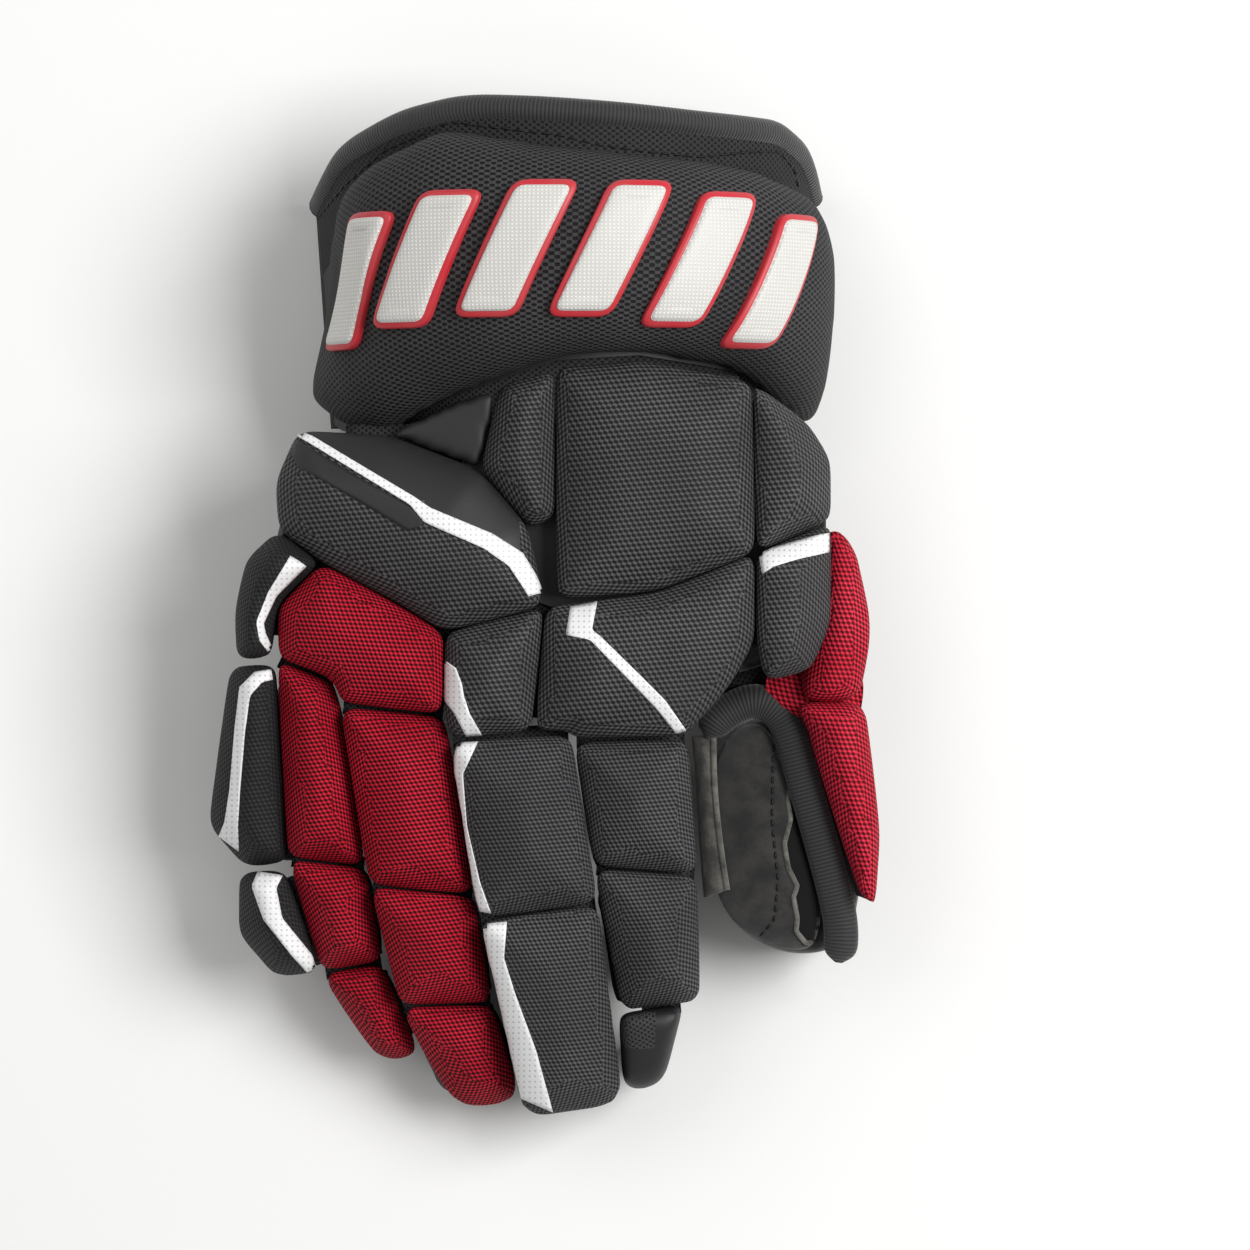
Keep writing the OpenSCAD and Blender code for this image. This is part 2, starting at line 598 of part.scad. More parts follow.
// Generic raised bars across the roll, each leaning on its surface
bar_pitch = 16.4;
bar_mid_y = 120;
bar_bow = 1.6;
bar_lift = 0.95;
module cuff_bars() {
    on_roll = function (p, h) cuff_place(p, roll_h(p[0], p[1]) + bar_lift + h);
    degrees_per_mm = 180 / (PI * (cuff_r + cuff_rise));
    color(white) for (i = [0:bar_count - 1]) {
        k = i - (bar_count - 1) / 2;
        mid = k * bar_pitch;
        mid_y = bar_mid_y - bar_bow * k * k;
        outline = [for (c = [[-1, 1], [-1, -1], [1, -1], [1, 1]])
            let (y = c[1] * bar_l / 2)
            [mid + (c[0] * bar_w / 2 + y * tan(bar_slant)) * degrees_per_mm, mid_y + y]];
        ends = rounded(outline, 5);
        line = [for (j = [0:len(ends) - 1]) each j % (2 * corner_steps) != corner_steps - 1 ? [ends[j]] :
            [for (t = [0, 0.25, 0.5, 0.75]) ends[j] * (1 - t) + ends[j + 1] * t]];
        pad(line, bar_rise, on_roll, concat([[0, 0.33], [0, 0.67]], pad_rings));
    }
}

// Line that runs beside another at a distance, on its right hand side
function beside(line, d) =
    let (n = len(line) - 1)
    [for (i = [0:n]) let (t = towards(line[max(i - 1, 0)], line[min(i + 1, n)])) line[i] + [t[1], -t[0]] * d];

// Shell of the arch between two radii over the wrist end, cut to the line of its edge
module arch_shell(inner, outer, edge, hem) {
    l = 120;
    first = front_line[0];
    last = front_line[len(front_line) - 1];
    rim = concat([[-130, first[1]], [-130, edge[0][1]]], edge,
        [[130, edge[len(edge) - 1][1]], [130, last[1]]],
        [for (i = [len(front_line) - 1:-1:0]) front_line[i]]);
    intersection() {
        translate([cuff_centre_x, cuff_start_y, cuff_centre_z]) rotate([-90, 0, 0]) difference() {
            cylinder(h = l, r1 = cuff_r + outer, r2 = cuff_r + outer + cuff_flare * l);
            translate([0, 0, -1]) cylinder(h = l + 2, r1 = cuff_r + inner - cuff_flare,
                r2 = cuff_r + inner + cuff_flare * (l + 1));
        }
        translate([0, 0, hem]) linear_extrude(200) polygon(rim);
    }
}
module cuff_lining() {
    color(lining_grey) arch_shell(-cuff_lining_t, 0, beside(rim_line, binding_r + 4 * layer_gap), cuff_hem_z);
}
module cuff_plate() {
    edge = [for (p = rim_line) p - [0, 30]];
    plate_hem = cuff_centre_z + cuff_r * cos(cuff_half_angle) + 6;
    color(plastic_grey) arch_shell(layer_gap, layer_gap + plate_t, edge, plate_hem);
}
module cuff_binding() {
    steps = 30;
    reach = 78;
    path = [for (i = [0:steps])
        let (a = -reach + 2 * reach * i / steps)
        let (y = lookup(cuff_centre_x + cuff_r * 1.07 * sin(a), rim_line))
        [cuff_centre_x + (arch_r(y) - cuff_lining_t / 2) * sin(a), y,
            cuff_centre_z + (arch_r(y) - cuff_lining_t / 2) * cos(a)]];
    color(black) tube(path, binding_r);
}

// Finger pads and stalls
module index_1_pad() { color(black) row_pad(index, 0); }
module index_1_stall() { color(suede) stall_row(index, 0); }
module index_2_pad() { color(black) row_pad(index, 1); }
module index_2_stall() { color(suede) stall_row(index, 1); }
module index_tip() { color(suede) index_cap(); }
module middle_1_pad() { color(black) row_pad(middle, 0); }
module middle_1_stall() { color(suede) stall_row(middle, 0); }
module middle_2_pad() { color(black) row_pad(middle, 1); }
module middle_2_stall() { color(suede) stall_row(middle, 1); }
module ring_1_pad() { color(red) row_pad(ring, 0); }
module ring_1_stall() { color(suede) stall_row(ring, 0); }
module ring_2_pad() { color(red) row_pad(ring, 1); }
module ring_2_stall() { color(suede) stall_row(ring, 1); }
module ring_3_pad() { color(red) row_pad(ring, 2); }
module ring_3_stall() { color(suede) stall_row(ring, 2); }
module little_1_pad() { color(red) row_pad(little, 0); }
module little_1_side() { color(black) side_pad(0, little_folds[0] + 3.9, little_folds[1] + 2.2); }
module little_1_stall() { color(suede) stall_row(little, 0); }
module little_2_pad() { color(red) row_pad(little, 1); }
module little_2_side() { color(black) side_pad(1, little_folds[1] - 0.5, little_folds[2] + 2); }
module little_2_stall() { color(suede) stall_row(little, 1); }
module little_3_pad() { color(red) row_pad(little, 2); }
module little_3_stall() { color(suede) stall_row(little, 2); }

cuff_roll();
cuff_bars();
cuff_binding();
cuff_lining();
cuff_plate();
backhand_outer_roll();
backhand_wrist_panel();
backhand_wedge();
backhand_main();
thumb_side_upper();
thumb_side_lower();
knuckle_outer_cap();
knuckle_red();
knuckle_middle();
knuckle_index();
backhand_plate();
hand_liner();
palm_panel();
palm_overlay();
finger_roots();
outer_gusset();
thumb_gusset();
thumb_pad_upper();
index_1_pad();
index_1_stall();
index_2_pad();
index_2_stall();
index_tip();
middle_1_pad();
middle_1_stall();
middle_2_pad();
middle_2_stall();
ring_1_pad();
ring_1_stall();
ring_2_pad();
ring_2_stall();
ring_3_pad();
ring_3_stall();
little_1_pad();
little_1_side();
little_1_stall();
little_2_pad();
little_2_side();
little_2_stall();
little_3_pad();
little_3_stall();
thumb_pad_lower();
thumb_binding();
thumb_face();
thumb_plate();
thumb_stall();
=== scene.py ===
# %% [markdown]
# # An ice hockey glove for the right hand
# The glove lies palm down with its fingers a little curled. Under the fabric there is a frame of
# solids with hinges, made beforehand: the pieces below are built round it, and all but the crease rolls and the
# thumb's web strip move with it.
# All lengths are metres, X points to the thumb, Y to the cuff and Z up out of the back of the hand.

# %% Load the frame
import json
import math

import bmesh
import bpy
import numpy as np
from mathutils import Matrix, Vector
from mathutils.bvhtree import BVHTree


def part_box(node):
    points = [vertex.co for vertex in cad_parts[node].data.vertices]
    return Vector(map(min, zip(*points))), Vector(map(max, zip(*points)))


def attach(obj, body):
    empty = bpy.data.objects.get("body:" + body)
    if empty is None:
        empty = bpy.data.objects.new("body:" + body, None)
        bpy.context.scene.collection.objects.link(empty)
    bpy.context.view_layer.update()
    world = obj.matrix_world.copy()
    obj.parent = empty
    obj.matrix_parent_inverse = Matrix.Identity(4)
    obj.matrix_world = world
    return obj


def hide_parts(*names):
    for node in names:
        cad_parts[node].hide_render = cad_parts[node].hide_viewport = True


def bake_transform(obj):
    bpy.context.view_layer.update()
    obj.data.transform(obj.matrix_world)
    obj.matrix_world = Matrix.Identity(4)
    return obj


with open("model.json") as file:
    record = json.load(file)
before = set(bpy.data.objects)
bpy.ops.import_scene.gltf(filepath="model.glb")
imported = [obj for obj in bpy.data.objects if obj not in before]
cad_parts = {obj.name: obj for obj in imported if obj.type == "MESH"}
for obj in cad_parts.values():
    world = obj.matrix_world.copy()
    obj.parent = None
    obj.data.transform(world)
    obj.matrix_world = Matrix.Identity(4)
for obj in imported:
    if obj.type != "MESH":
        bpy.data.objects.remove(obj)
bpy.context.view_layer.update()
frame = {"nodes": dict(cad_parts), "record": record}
scene = bpy.context.scene
body_of = {n: b for b, nodes in frame["record"]["behaviour"]["bodies"].items() for n in nodes}
MM = 0.001

# %% [markdown]
# ## The camera
# The picture was taken from straight above the back of the hand with a long lens, so there is
# almost no perspective. One pixel of the picture is 0.34 mm at the height of the back pads. The
# camera comes first because later pieces, such as the white stripes, are laid out in pixels and
# dropped along the camera's own rays until they land on a pad.

# %% Camera over the back of the hand
PIXEL = 0.34 * MM
IMAGE = 1250
ORIGIN_U, ORIGIN_V = 545, 606  # the picture point over the origin of the frame
SHARP_Z = 0.066
LENS, SENSOR = 180, 36


def picture(u, v, z=SHARP_Z):
    """Point of the picture, at the height at which one pixel is 0.34 mm"""
    return Vector(((u - ORIGIN_U) * PIXEL, (ORIGIN_V - v) * PIXEL, z))


camera = bpy.data.objects.new("camera", bpy.data.cameras.new("camera"))
camera.data.lens, camera.data.sensor_width = LENS, SENSOR
camera.location = picture(IMAGE / 2, IMAGE / 2) + Vector((0, 0, IMAGE * PIXEL * LENS / SENSOR))
camera.data.clip_end = 50
scene.collection.objects.link(camera)
scene.camera = camera
eye = camera.location.copy()
print("camera height:", round(eye.z, 3), "m")

# %% [markdown]
# ## Meshes and materials
# A few small functions do what every piece below needs: make a mesh, move its points, cover it, and
# give it a map in millimetres for its fabric. Materials are built from nodes, and one function adds
# each node. Colours are written as a screen shows them and turned into linear light.

# %% Functions for meshes
WEAVE = "weave_mm"


def mesh_object(name, verts, faces, material=None):
    """New mesh object in the scene"""
    data = bpy.data.meshes.new(name)
    data.from_pydata([tuple(v) for v in verts], [], [tuple(f) for f in faces])
    data.update()
    made = bpy.data.objects.new(name, data)
    scene.collection.objects.link(made)
    if material:
        data.materials.append(material)
    return made


def coordinates(data):
    """All vertices of a mesh as rows"""
    flat = np.zeros(len(data.vertices) * 3, np.float32)
    data.vertices.foreach_get("co", flat)
    return flat.reshape(-1, 3).astype(float)


def placed(made, rows):
    """Moves all vertices of an object to new places"""
    made.data.vertices.foreach_set("co", rows.astype(np.float32).ravel())
    made.data.update()
    return made


def covered(made, *materials):
    """Gives an object its materials and smooth shading"""
    made.data.materials.clear()
    for material in materials:
        made.data.materials.append(material)
    made.data.polygons.foreach_set("use_smooth", [True] * len(made.data.polygons))
    return made


def mapped(made, flat):
    """Weave map from one flat place in mm for each vertex"""
    index = np.zeros(len(made.data.loops), np.int32)
    made.data.loops.foreach_get("vertex_index", index)
    layer = made.data.uv_layers.new(name=WEAVE)
    layer.data.foreach_set("uv", np.array(flat)[index].astype(np.float32).ravel())


def quads(rows, columns, ring=False):
    """Faces of a grid of points, row by row; a ring closes each row"""
    return [(i * columns + k, i * columns + (k + 1) % columns, (i + 1) * columns + (k + 1) % columns,
             (i + 1) * columns + k) for i in range(rows - 1) for k in range(columns if ring else columns - 1)]


def run_of(points):
    """Length along a broken line, up to each of its points"""
    return np.r_[0, np.cumsum(np.linalg.norm(np.diff(np.array(points, float), axis=0), axis=1))]


def at_lengths(points, run, at):
    """Points of a broken line at some lengths along it"""
    return np.c_[tuple(np.interp(at, run, points[:, k]) for k in range(points.shape[1]))]


def evaluated(made):
    """Mesh of an object with its modifiers, as a new mesh"""
    graph = bpy.context.evaluated_depsgraph_get()
    return bpy.data.meshes.new_from_object(made.evaluated_get(graph))


def edited(made, change):
    """Lets a function change the mesh of an object"""
    shape = bmesh.new()
    shape.from_mesh(made.data)
    change(shape)
    shape.to_mesh(made.data)
    shape.free()
    made.data.update()
    return made


def faced_out(shape):
    """Turns all faces of a shape outward"""
    bmesh.ops.recalc_face_normals(shape, faces=shape.faces)


def thickened(made, thickness, offset):
    """Makes a sheet as thick as its cloth"""
    body = made.modifiers.new("thickness", "SOLIDIFY")
    body.thickness, body.offset = thickness, offset


def shape_of(node):
    """Welded copy of a node's solid, to be changed"""
    shape = bmesh.new()
    shape.from_mesh(frame["nodes"][node].data)
    bmesh.ops.remove_doubles(shape, verts=shape.verts, dist=1e-6)
    return shape


def from_shape(shape, name):
    """New object from a changed shape"""
    faced_out(shape)
    made = mesh_object(name, [], [])
    shape.to_mesh(made.data)
    shape.free()
    return made


def remeshed(made, size):
    """Even quads all over a closed shape"""
    tool = made.modifiers.new("even", "REMESH")
    tool.mode, tool.voxel_size = "VOXEL", size
    data = evaluated(made)
    made.modifiers.clear()
    old, made.data = made.data, data
    bpy.data.meshes.remove(old)
    return made


def smoothed(made, times):
    """Relaxes a mesh a few times"""
    def relax(shape):
        for _ in range(times):
            bmesh.ops.smooth_vert(shape, verts=shape.verts, factor=0.5, use_axis_x=True, use_axis_y=True,
                                  use_axis_z=True)
    return edited(made, relax)


print("map name:", WEAVE)

# %% Functions for materials
def linear(code):
    """Linear colour of a hex code as a screen shows it"""
    channels = [int(code[i:i + 2], 16) / 255 for i in (1, 3, 5)]
    return [c / 12.92 if c < 0.04045 else ((c + 0.055) / 1.055) ** 2.4 for c in channels] + [1.0]


def add(tree, kind, links=None, out=0, **settings):
    """Adds a node and gives one of its outputs: settings go on the node, and links on its inputs, as a
    value or another node's output"""
    node = tree.nodes.new("ShaderNode" + kind)
    for key, value in settings.items():
        setattr(node, key, value)
    for key, value in (links or {}).items():
        if isinstance(value, bpy.types.NodeSocket):
            tree.links.new(value, node.inputs[key])
        else:
            node.inputs[key].default_value = value
    return node.outputs[out] if len(node.outputs) else node


def new_material(name):
    """Empty node material and its tree"""
    material = bpy.data.materials.new(name)
    material.use_nodes = True
    material.node_tree.nodes.clear()
    return material, material.node_tree


def skinned(material, inputs, shader="BsdfPrincipled"):
    """Joins one shader with these inputs to the material's surface"""
    tree = material.node_tree
    add(tree, "OutputMaterial", {"Surface": add(tree, shader, inputs)})
    return material


def maths(tree, operation, *values):
    """Result of one sum"""
    return add(tree, "Math", dict(enumerate(values)), operation=operation)


def between(tree, value, low, high, to_low=0.0, to_high=1.0):
    """Value spread from one range to another, softly at both ends"""
    return add(tree, "MapRange", {"Value": value, "From Min": low, "From Max": high, "To Min": to_low,
                                  "To Max": to_high}, interpolation_type="SMOOTHSTEP")


def mixed(tree, share, first, second, blend="MIX"):
    """Colour between two colours"""
    return add(tree, "MixRGB", {"Fac": share, "Color1": first, "Color2": second}, blend_type=blend)


def cloudy(tree, size_mm, detail=3.0):
    """Soft uneven value from 0 to 1 whose patches are about this large"""
    place = add(tree, "TexCoord", out="Object")
    return add(tree, "TexNoise", {"Vector": place, "Scale": 1000 / size_mm, "Detail": detail}, "Fac")


def worn(tree, size_mm, first, second, low=0.3, high=0.7, detail=3.0):
    """Colour that drifts between two hex codes in patches of about this size"""
    return mixed(tree, between(tree, cloudy(tree, size_mm, detail), low, high), linear(first), linear(second))


def relief(tree, height, depth_mm, strength, onto=None, invert=False):
    """Normal of a surface with a relief of this depth, on top of another relief"""
    links = {"Height": height, "Distance": depth_mm * MM, "Strength": strength}
    if onto is not None:
        links["Normal"] = onto
    return add(tree, "Bump", links, invert=invert)


print("example of a linear colour:", [round(c, 3) for c in linear("#bf142c")])

# %% [markdown]
# ## Floor and light
# A plain pale floor and soft light from large lamps, as in a product studio. The lamps and the
# world together light a level surface to about its written colour, so black stays black.

# %% Floor, lamps and world
scene.view_settings.view_transform = "Standard"
FLOOR, FLOOR_Z = 3, -0.0004
LOOK_AT = Vector((0, 0, 0.04))

# Matt white board
board = skinned(new_material("matt_white_board")[0], {"Color": linear("#f6f6f4")}, "BsdfDiffuse")
corners = [(x * FLOOR, y * FLOOR, FLOOR_Z) for x, y in ((-1, -1), (1, -1), (1, 1), (-1, 1))]
floor = mesh_object("floor", corners, [(0, 1, 2, 3)], board)


def lamp(name, place, size, watts):
    """Square soft lamp that faces the glove"""
    light = bpy.data.lights.new(name, "AREA")
    light.size, light.energy = size, watts
    made = bpy.data.objects.new(name, light)
    made.location = place
    made.rotation_euler = (LOOK_AT - made.location).to_track_quat("-Z", "Y").to_euler()
    scene.collection.objects.link(made)


lamp("key", Vector((1.3, 0.35, 1.7)), 1.1, 42)
lamp("fill", Vector((-1.0, 0.7, 1.4)), 1.4, 7)
world = bpy.data.worlds.new("studio")
scene.world = world
world.use_nodes = True
sky = world.node_tree.nodes["Background"].inputs
sky["Color"].default_value, sky["Strength"].default_value = linear("#ffffff"), 0.33

# %% [markdown]
# ## Woven fabrics
# The pads are covered with coarse nylon and polyester weaves. Each yarn shows as a small raised
# dot, and the dots of one row sit between those of the next. A picture of the weave isn't needed:
# the product of two waves makes the same staggered dots, and each pad carries a map in millimetres
# that says where the waves run.

# %% Woven covers
def ripple(tree, value, length):
    """Wave from -1 to 1 of a length"""
    return maths(tree, "COSINE", maths(tree, "MULTIPLY", value, 2 * math.pi / length))


def waves(tree, pitch, turn):
    """Staggered dots from -1 to 1: pitch is the size of one repeat in mm, across and along"""
    place = add(tree, "UVMap", uv_map=WEAVE)
    turned = add(tree, "VectorRotate", {"Vector": place, "Angle": math.radians(turn)}, rotation_type="Z_AXIS")
    axes = add(tree, "SeparateXYZ", {0: turned}).node.outputs
    return maths(tree, "MULTIPLY", *(ripple(tree, axes[k], length) for k, length in zip("XY", pitch)))


def woven(name, gap_shade, yarn, shine, pitch, turn, depth=0.4, gloss=0.4):
    """Coarse woven cover. The gaps between the yarn's crowns are painted dark as shade, and the crowns are painted
    lighter, partly as highlight.
    """
    material, tree = new_material(name)
    yarns = between(tree, waves(tree, pitch, turn), -0.6, 0.7)
    # Painted shade in the gaps between yarns, and painted highlight on the lighter crowns
    colour = mixed(tree, yarns, linear(gap_shade), worn(tree, 34, yarn, shine))
    fibres = maths(tree, "MULTIPLY_ADD", cloudy(tree, 0.5, 1.0), 0.25, yarns)
    folds = relief(tree, cloudy(tree, 9, 2.0), 1.0, 0.55, onto=relief(tree, fibres, depth, 0.9))
    return skinned(material, {"Base Color": colour, "Roughness": between(tree, yarns, 0, 1, 0.8, 0.6),
                              "Specular IOR Level": gloss, "Normal": folds})


# Black nylon, woven from thick yarn: an open, dotted surface with a dull sheen
black_nylon = woven("black_nylon_weave", "#0c0c0d", "#4c4c4e", "#5a5a5c", (2.6, 1.7), 38)
# The same nylon in its coarsest weave, on the large pads of the back of the hand
coarse_nylon = woven("coarse_black_nylon_weave", "#0e0e0f", "#4b4b4d", "#59595b", (3.1, 2.0), 28)
# Red polyester, finer than the coarse nylon and with a low gloss: its crowns show as bright dots, partly painted
# highlight, over gaps painted dark as shade
red_polyester = woven("red_polyester_weave", "#2e0207", "#bf142c", "#d2223a", (2.6, 1.7), 36, gloss=0.15)
# A brighter, slightly coarser copy of the red polyester for the thumb: the thumb faces the light, and its extra
# brightness is painted light
painted_lit_red = woven("red_polyester_weave_painted_light", "#52060e", "#d4243c", "#e2364e", (2.9, 1.9), 36, gloss=0.15)
# Black nylon of the outer side, finer, flatter and darker than the rest: its darkness is partly painted shade, as
# that side faces away from the light
shaded_smooth_nylon = woven("smooth_black_nylon_painted_shade", "#060607", "#1e1e20", "#262628", (2.6, 1.8), 38, depth=0.25)
print("weaves:", black_nylon.name, coarse_nylon.name, red_polyester.name)

# %% [markdown]
# ## Stuffed pads
# Each pad on the real glove is a block of foam with cut edges, wrapped in fabric and sewn down at
# its rim. The foam keeps soft hips, like a low roof, and the pressed edges meet in deep creases.
# So each pad starts from the seam line of its solid: a block over that line is remeshed evenly, its
# top is lifted like a hipped roof, and cloth with air pressure inside rounds it, as stuffing does.

# %% Seam line and seat of a pad
PARALLEL = 0.9999


def seat_of(node):
    """Seam line of a pad as points in plan, the plane it sits on (z = a + b x + c y), and its rise"""
    shape = shape_of(node)
    shape.normal_update()
    down = [f for f in shape.faces if f.normal.z < -0.5]
    lowest = max(down, key=lambda f: sum(g.calc_area() for g in down if g.normal.dot(f.normal) > PARALLEL))
    level = lowest.normal.dot(lowest.verts[0].co)
    flat = {f for f in down if f.normal.dot(lowest.normal) > PARALLEL
            and abs(lowest.normal.dot(f.verts[0].co) - level) < 2e-5}
    rim = {}
    for face in flat:
        for edge in face.edges:
            if sum(f in flat for f in edge.link_faces) == 1:
                for vert in edge.verts:
                    rim.setdefault(vert, []).append(edge.other_vert(vert))
    start = here = next(iter(rim))
    line, last = [], None
    while not line or here != start:
        line.append(tuple(here.co))
        last, here = here, [v for v in rim[here] if v != last][0]
    points = np.array(line)
    plane = np.linalg.lstsq(np.c_[np.ones(len(points)), points[:, :2]], points[:, 2], rcond=None)[0]
    corners = np.array([tuple(v.co) for v in shape.verts])
    rise = (corners[:, 2] - plane[0] - corners[:, :2] @ plane[1:]).max()
    shape.free()
    return points[:, :2], plane, rise


def distance_in(points, line):
    """Distance from points to a closed line in plan"""
    a, b = line, np.roll(line, -1, axis=0)
    d = b - a
    t = np.clip(((points[:, None] - a) * d).sum(2) / np.maximum((d * d).sum(1), 1e-12), 0, 1)
    return np.linalg.norm(points[:, None] - (a + t[..., None] * d), axis=2).min(1)


def inside(points, line):
    """Whether points lie in a closed line"""
    a, b = line, np.roll(line, -1, axis=0)
    x, y = points[:, 0:1], points[:, 1:2]
    rise = np.where(b[:, 1] == a[:, 1], 1e-12, b[:, 1] - a[:, 1])
    crossing = ((a[:, 1] > y) != (b[:, 1] > y)) & (x < a[:, 0] + (y - a[:, 1]) / rise * (b[:, 0] - a[:, 0]))
    return crossing.sum(1) % 2 == 1


print("seat of the main pad:", [round(float(x), 3) for x in seat_of("backhand_main")[1]])

# %% A foam pad with hips
SEAM_SHARE = 0.95  # the solid's seat against the sewn outline
VOXEL = 2.3 * MM
HIP = 19 * MM


def foam_pad(node, wall=0.45, fuller=1.05):
    """Pad over a node's seam line: an upright edge, then hips that rise to a ridge or a flat top"""
    line, plane, rise = seat_of(node)
    middle = line.mean(0)
    line = middle + (line - middle) / SEAM_SHARE
    rise *= fuller
    n = len(line)
    verts = [(*p, z) for z in (0, rise) for p in line]
    faces = [range(n - 1, -1, -1), range(n, 2 * n)] + quads(2, n, ring=True)
    made = remeshed(edited(mesh_object(node + "_cover", verts, faces), faced_out), VOXEL)
    co = coordinates(made.data)
    deep = distance_in(co[:, :2], line)
    inner = np.clip(deep / min(deep.max(), HIP), 0, 1)
    roof = rise * (wall + (1 - wall) * (0.62 * inner + 0.38 * (1 - (1 - inner) ** 3)))
    co[:, 2] = plane[0] + co[:, :2] @ plane[1:] + np.clip(co[:, 2] / rise, 0, 1) * roof
    return placed(made, co)


PADS = [n for n in frame["nodes"] if n.startswith(("backhand_", "knuckle_", "thumb_side", "thumb_pad"))
        and n != "backhand_plate"]
PADS += [n for n in frame["nodes"] if n.endswith(("_pad", "_side")) and n not in PADS]
FULLNESS = {"backhand_wrist_panel": (1.0, 0.45), "thumb_pad_upper": (0.62, 1.1), "thumb_pad_lower": (0.62, 1.1)}
pads = {n: foam_pad(n, *FULLNESS.get(n, ())) for n in PADS}

# Some pads are let out, by a share of their width and of their length: those over the outer edge of
# the hand from their inner side, and the finger tips from their fold.
LET_OUT = {"little_1_side": (1, 0.14, 0), "little_2_side": (1, 0.16, 0.05), "little_3_pad": (0.5, 0.16, 0.1),
           "ring_3_pad": (0.62, 0.17, 0.06), "thumb_pad_upper": (1, 0.5, 0.07), "thumb_pad_lower": (0, 0.08, 0)}
for name, (anchor, wider, longer) in LET_OUT.items():
    co = coordinates(pads[name].data)
    low, high = co.min(0), co.max(0)
    from_fold = np.clip((high[1] - co[:, 1]) / (high[1] - low[1]), 0, 1)
    middle = low[0] + (high[0] - low[0]) * anchor
    co[:, 0] += (co[:, 0] - middle) * wider * (from_fold if name.endswith("_pad") else 1)
    co[:, 1] -= (high[1] - co[:, 1]) * longer
    placed(pads[name], co)
print("pads:", len(pads), "points:", sum(len(p.data.vertices) for p in pads.values()))

# %% [markdown]
# Cloth with pressure inside lets each cover find its own tension. All pads run together for a few
# frames. A pad may rise a little, but its sides stay behind the seam, so that two neighbours never
# grow into each other.

# %% Stuff the pads
UP_CAP, SIDE_CAP = 2.2 * MM, 0.25 * MM
CLOTH_FRAMES = 16


def stuffed(covers, pressure):
    """Runs cloth with pressure on all the covers and keeps the capped result"""
    before = {n: coordinates(c.data) for n, c in covers.items()}
    for cover in covers.values():
        cloth = cover.modifiers.new("stuffing", "CLOTH").settings
        cloth.use_pressure, cloth.uniform_pressure_force = True, pressure
        cloth.effector_weights.gravity = 0
        cloth.quality = 4
        cloth.mass = 0.2
        cloth.tension_stiffness = cloth.compression_stiffness = 12
        cloth.bending_stiffness = 0.6
    for step in range(1, CLOTH_FRAMES + 1):
        scene.frame_set(step)
    after = {n: coordinates(evaluated(c)) for n, c in covers.items()}
    for name, cover in covers.items():
        cover.modifiers.clear()
        move = after[name] - before[name]
        side = np.linalg.norm(move[:, :2], axis=1, keepdims=True)
        move[:, :2] *= np.minimum(1, SIDE_CAP / np.maximum(side, 1e-9))
        move[:, 2] = np.clip(move[:, 2], -UP_CAP, UP_CAP)
        placed(cover, before[name] + move)
    scene.frame_set(1)


stuffed(pads, 4.0)
print("stuffed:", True)

# %% Weave map and cover of each pad
FINGER_TURN = math.radians(9)
TOP, SLOPE = 0.78, 0.7  # upright part of a normal that counts as top; length of a slope in its map


def weave_map(made, turn=0.0):
    """Map in millimetres for the weave: the top is seen from above, and each side slope is laid flat"""
    data = made.data
    layer = data.uv_layers.new(name=WEAVE)
    co = coordinates(data) * 1000
    c, s = math.cos(turn), math.sin(turn)
    x, y, z = co[:, 0] * c + co[:, 1] * s, co[:, 1] * c - co[:, 0] * s, co[:, 2]
    flat = np.zeros((len(data.loops), 2), np.float32)
    for face in data.polygons:
        soft = sum((data.vertices[v].normal for v in face.vertices), Vector()).normalized()
        nx, ny = soft.x * c + soft.y * s, soft.y * c - soft.x * s
        for loop in face.loop_indices:
            v = data.loops[loop].vertex_index
            if abs(soft.z) > TOP:
                flat[loop] = x[v], y[v]
            elif abs(nx) > abs(ny):
                flat[loop] = y[v], SLOPE * (math.copysign(1, nx) * x[v] - z[v])
            else:
                flat[loop] = x[v], SLOPE * (math.copysign(1, ny) * y[v] - z[v])
    layer.data.foreach_set("uv", flat.ravel())


def seated(made, body, node=None):
    """Hangs a piece on its body and hides the solid it replaces"""
    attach(made, body)
    if node:
        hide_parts(node)
    return made


def dressed(made, material, body, node=None, divided=True):
    """Gives a piece its cover, a finer mesh where it is round, and its place on the frame"""
    covered(made, material)
    if divided:
        tool = made.modifiers.new("finer", "SUBSURF")
        tool.levels = tool.render_levels = 1
    return seated(made, body, node)


# Cover of each pad by the start of its name; the rest is black nylon
CLOTHS = {("thumb_pad",): painted_lit_red,
          ("knuckle_red", "ring_", "little_1_pad", "little_2_pad", "little_3_pad"): red_polyester,
          ("little_1_side", "little_2_side", "knuckle_outer_cap"): shaded_smooth_nylon,
          ("backhand_main", "backhand_wedge", "backhand_outer_roll", "thumb_side", "knuckle_index",
           "knuckle_middle"): coarse_nylon}
for name, cover in pads.items():
    cloth = next((c for starts, c in CLOTHS.items() if name.startswith(starts)), black_nylon)
    weave_map(cover, FINGER_TURN if name.endswith(("_pad", "_side")) else 0)
    slot = "red_weave" if cloth in (painted_lit_red, red_polyester) else "black_weave"
    dressed(cover, cloth, body_of[name], name)
print("dressed:", len(pads))

# %% [markdown]
# ## The cuff
# A hand goes in under an arched cuff: a lining of knitted mesh inside, a thick roll of foam under
# air mesh outside, and a rolled edge of ribbed tape round the rim. The arch is a cone, so a point
# of it is an angle round the arm and a distance along it. Air mesh is a warp knit with small oval
# holes. They are drawn in the finish, because thousands of cut holes would only slow the scene.

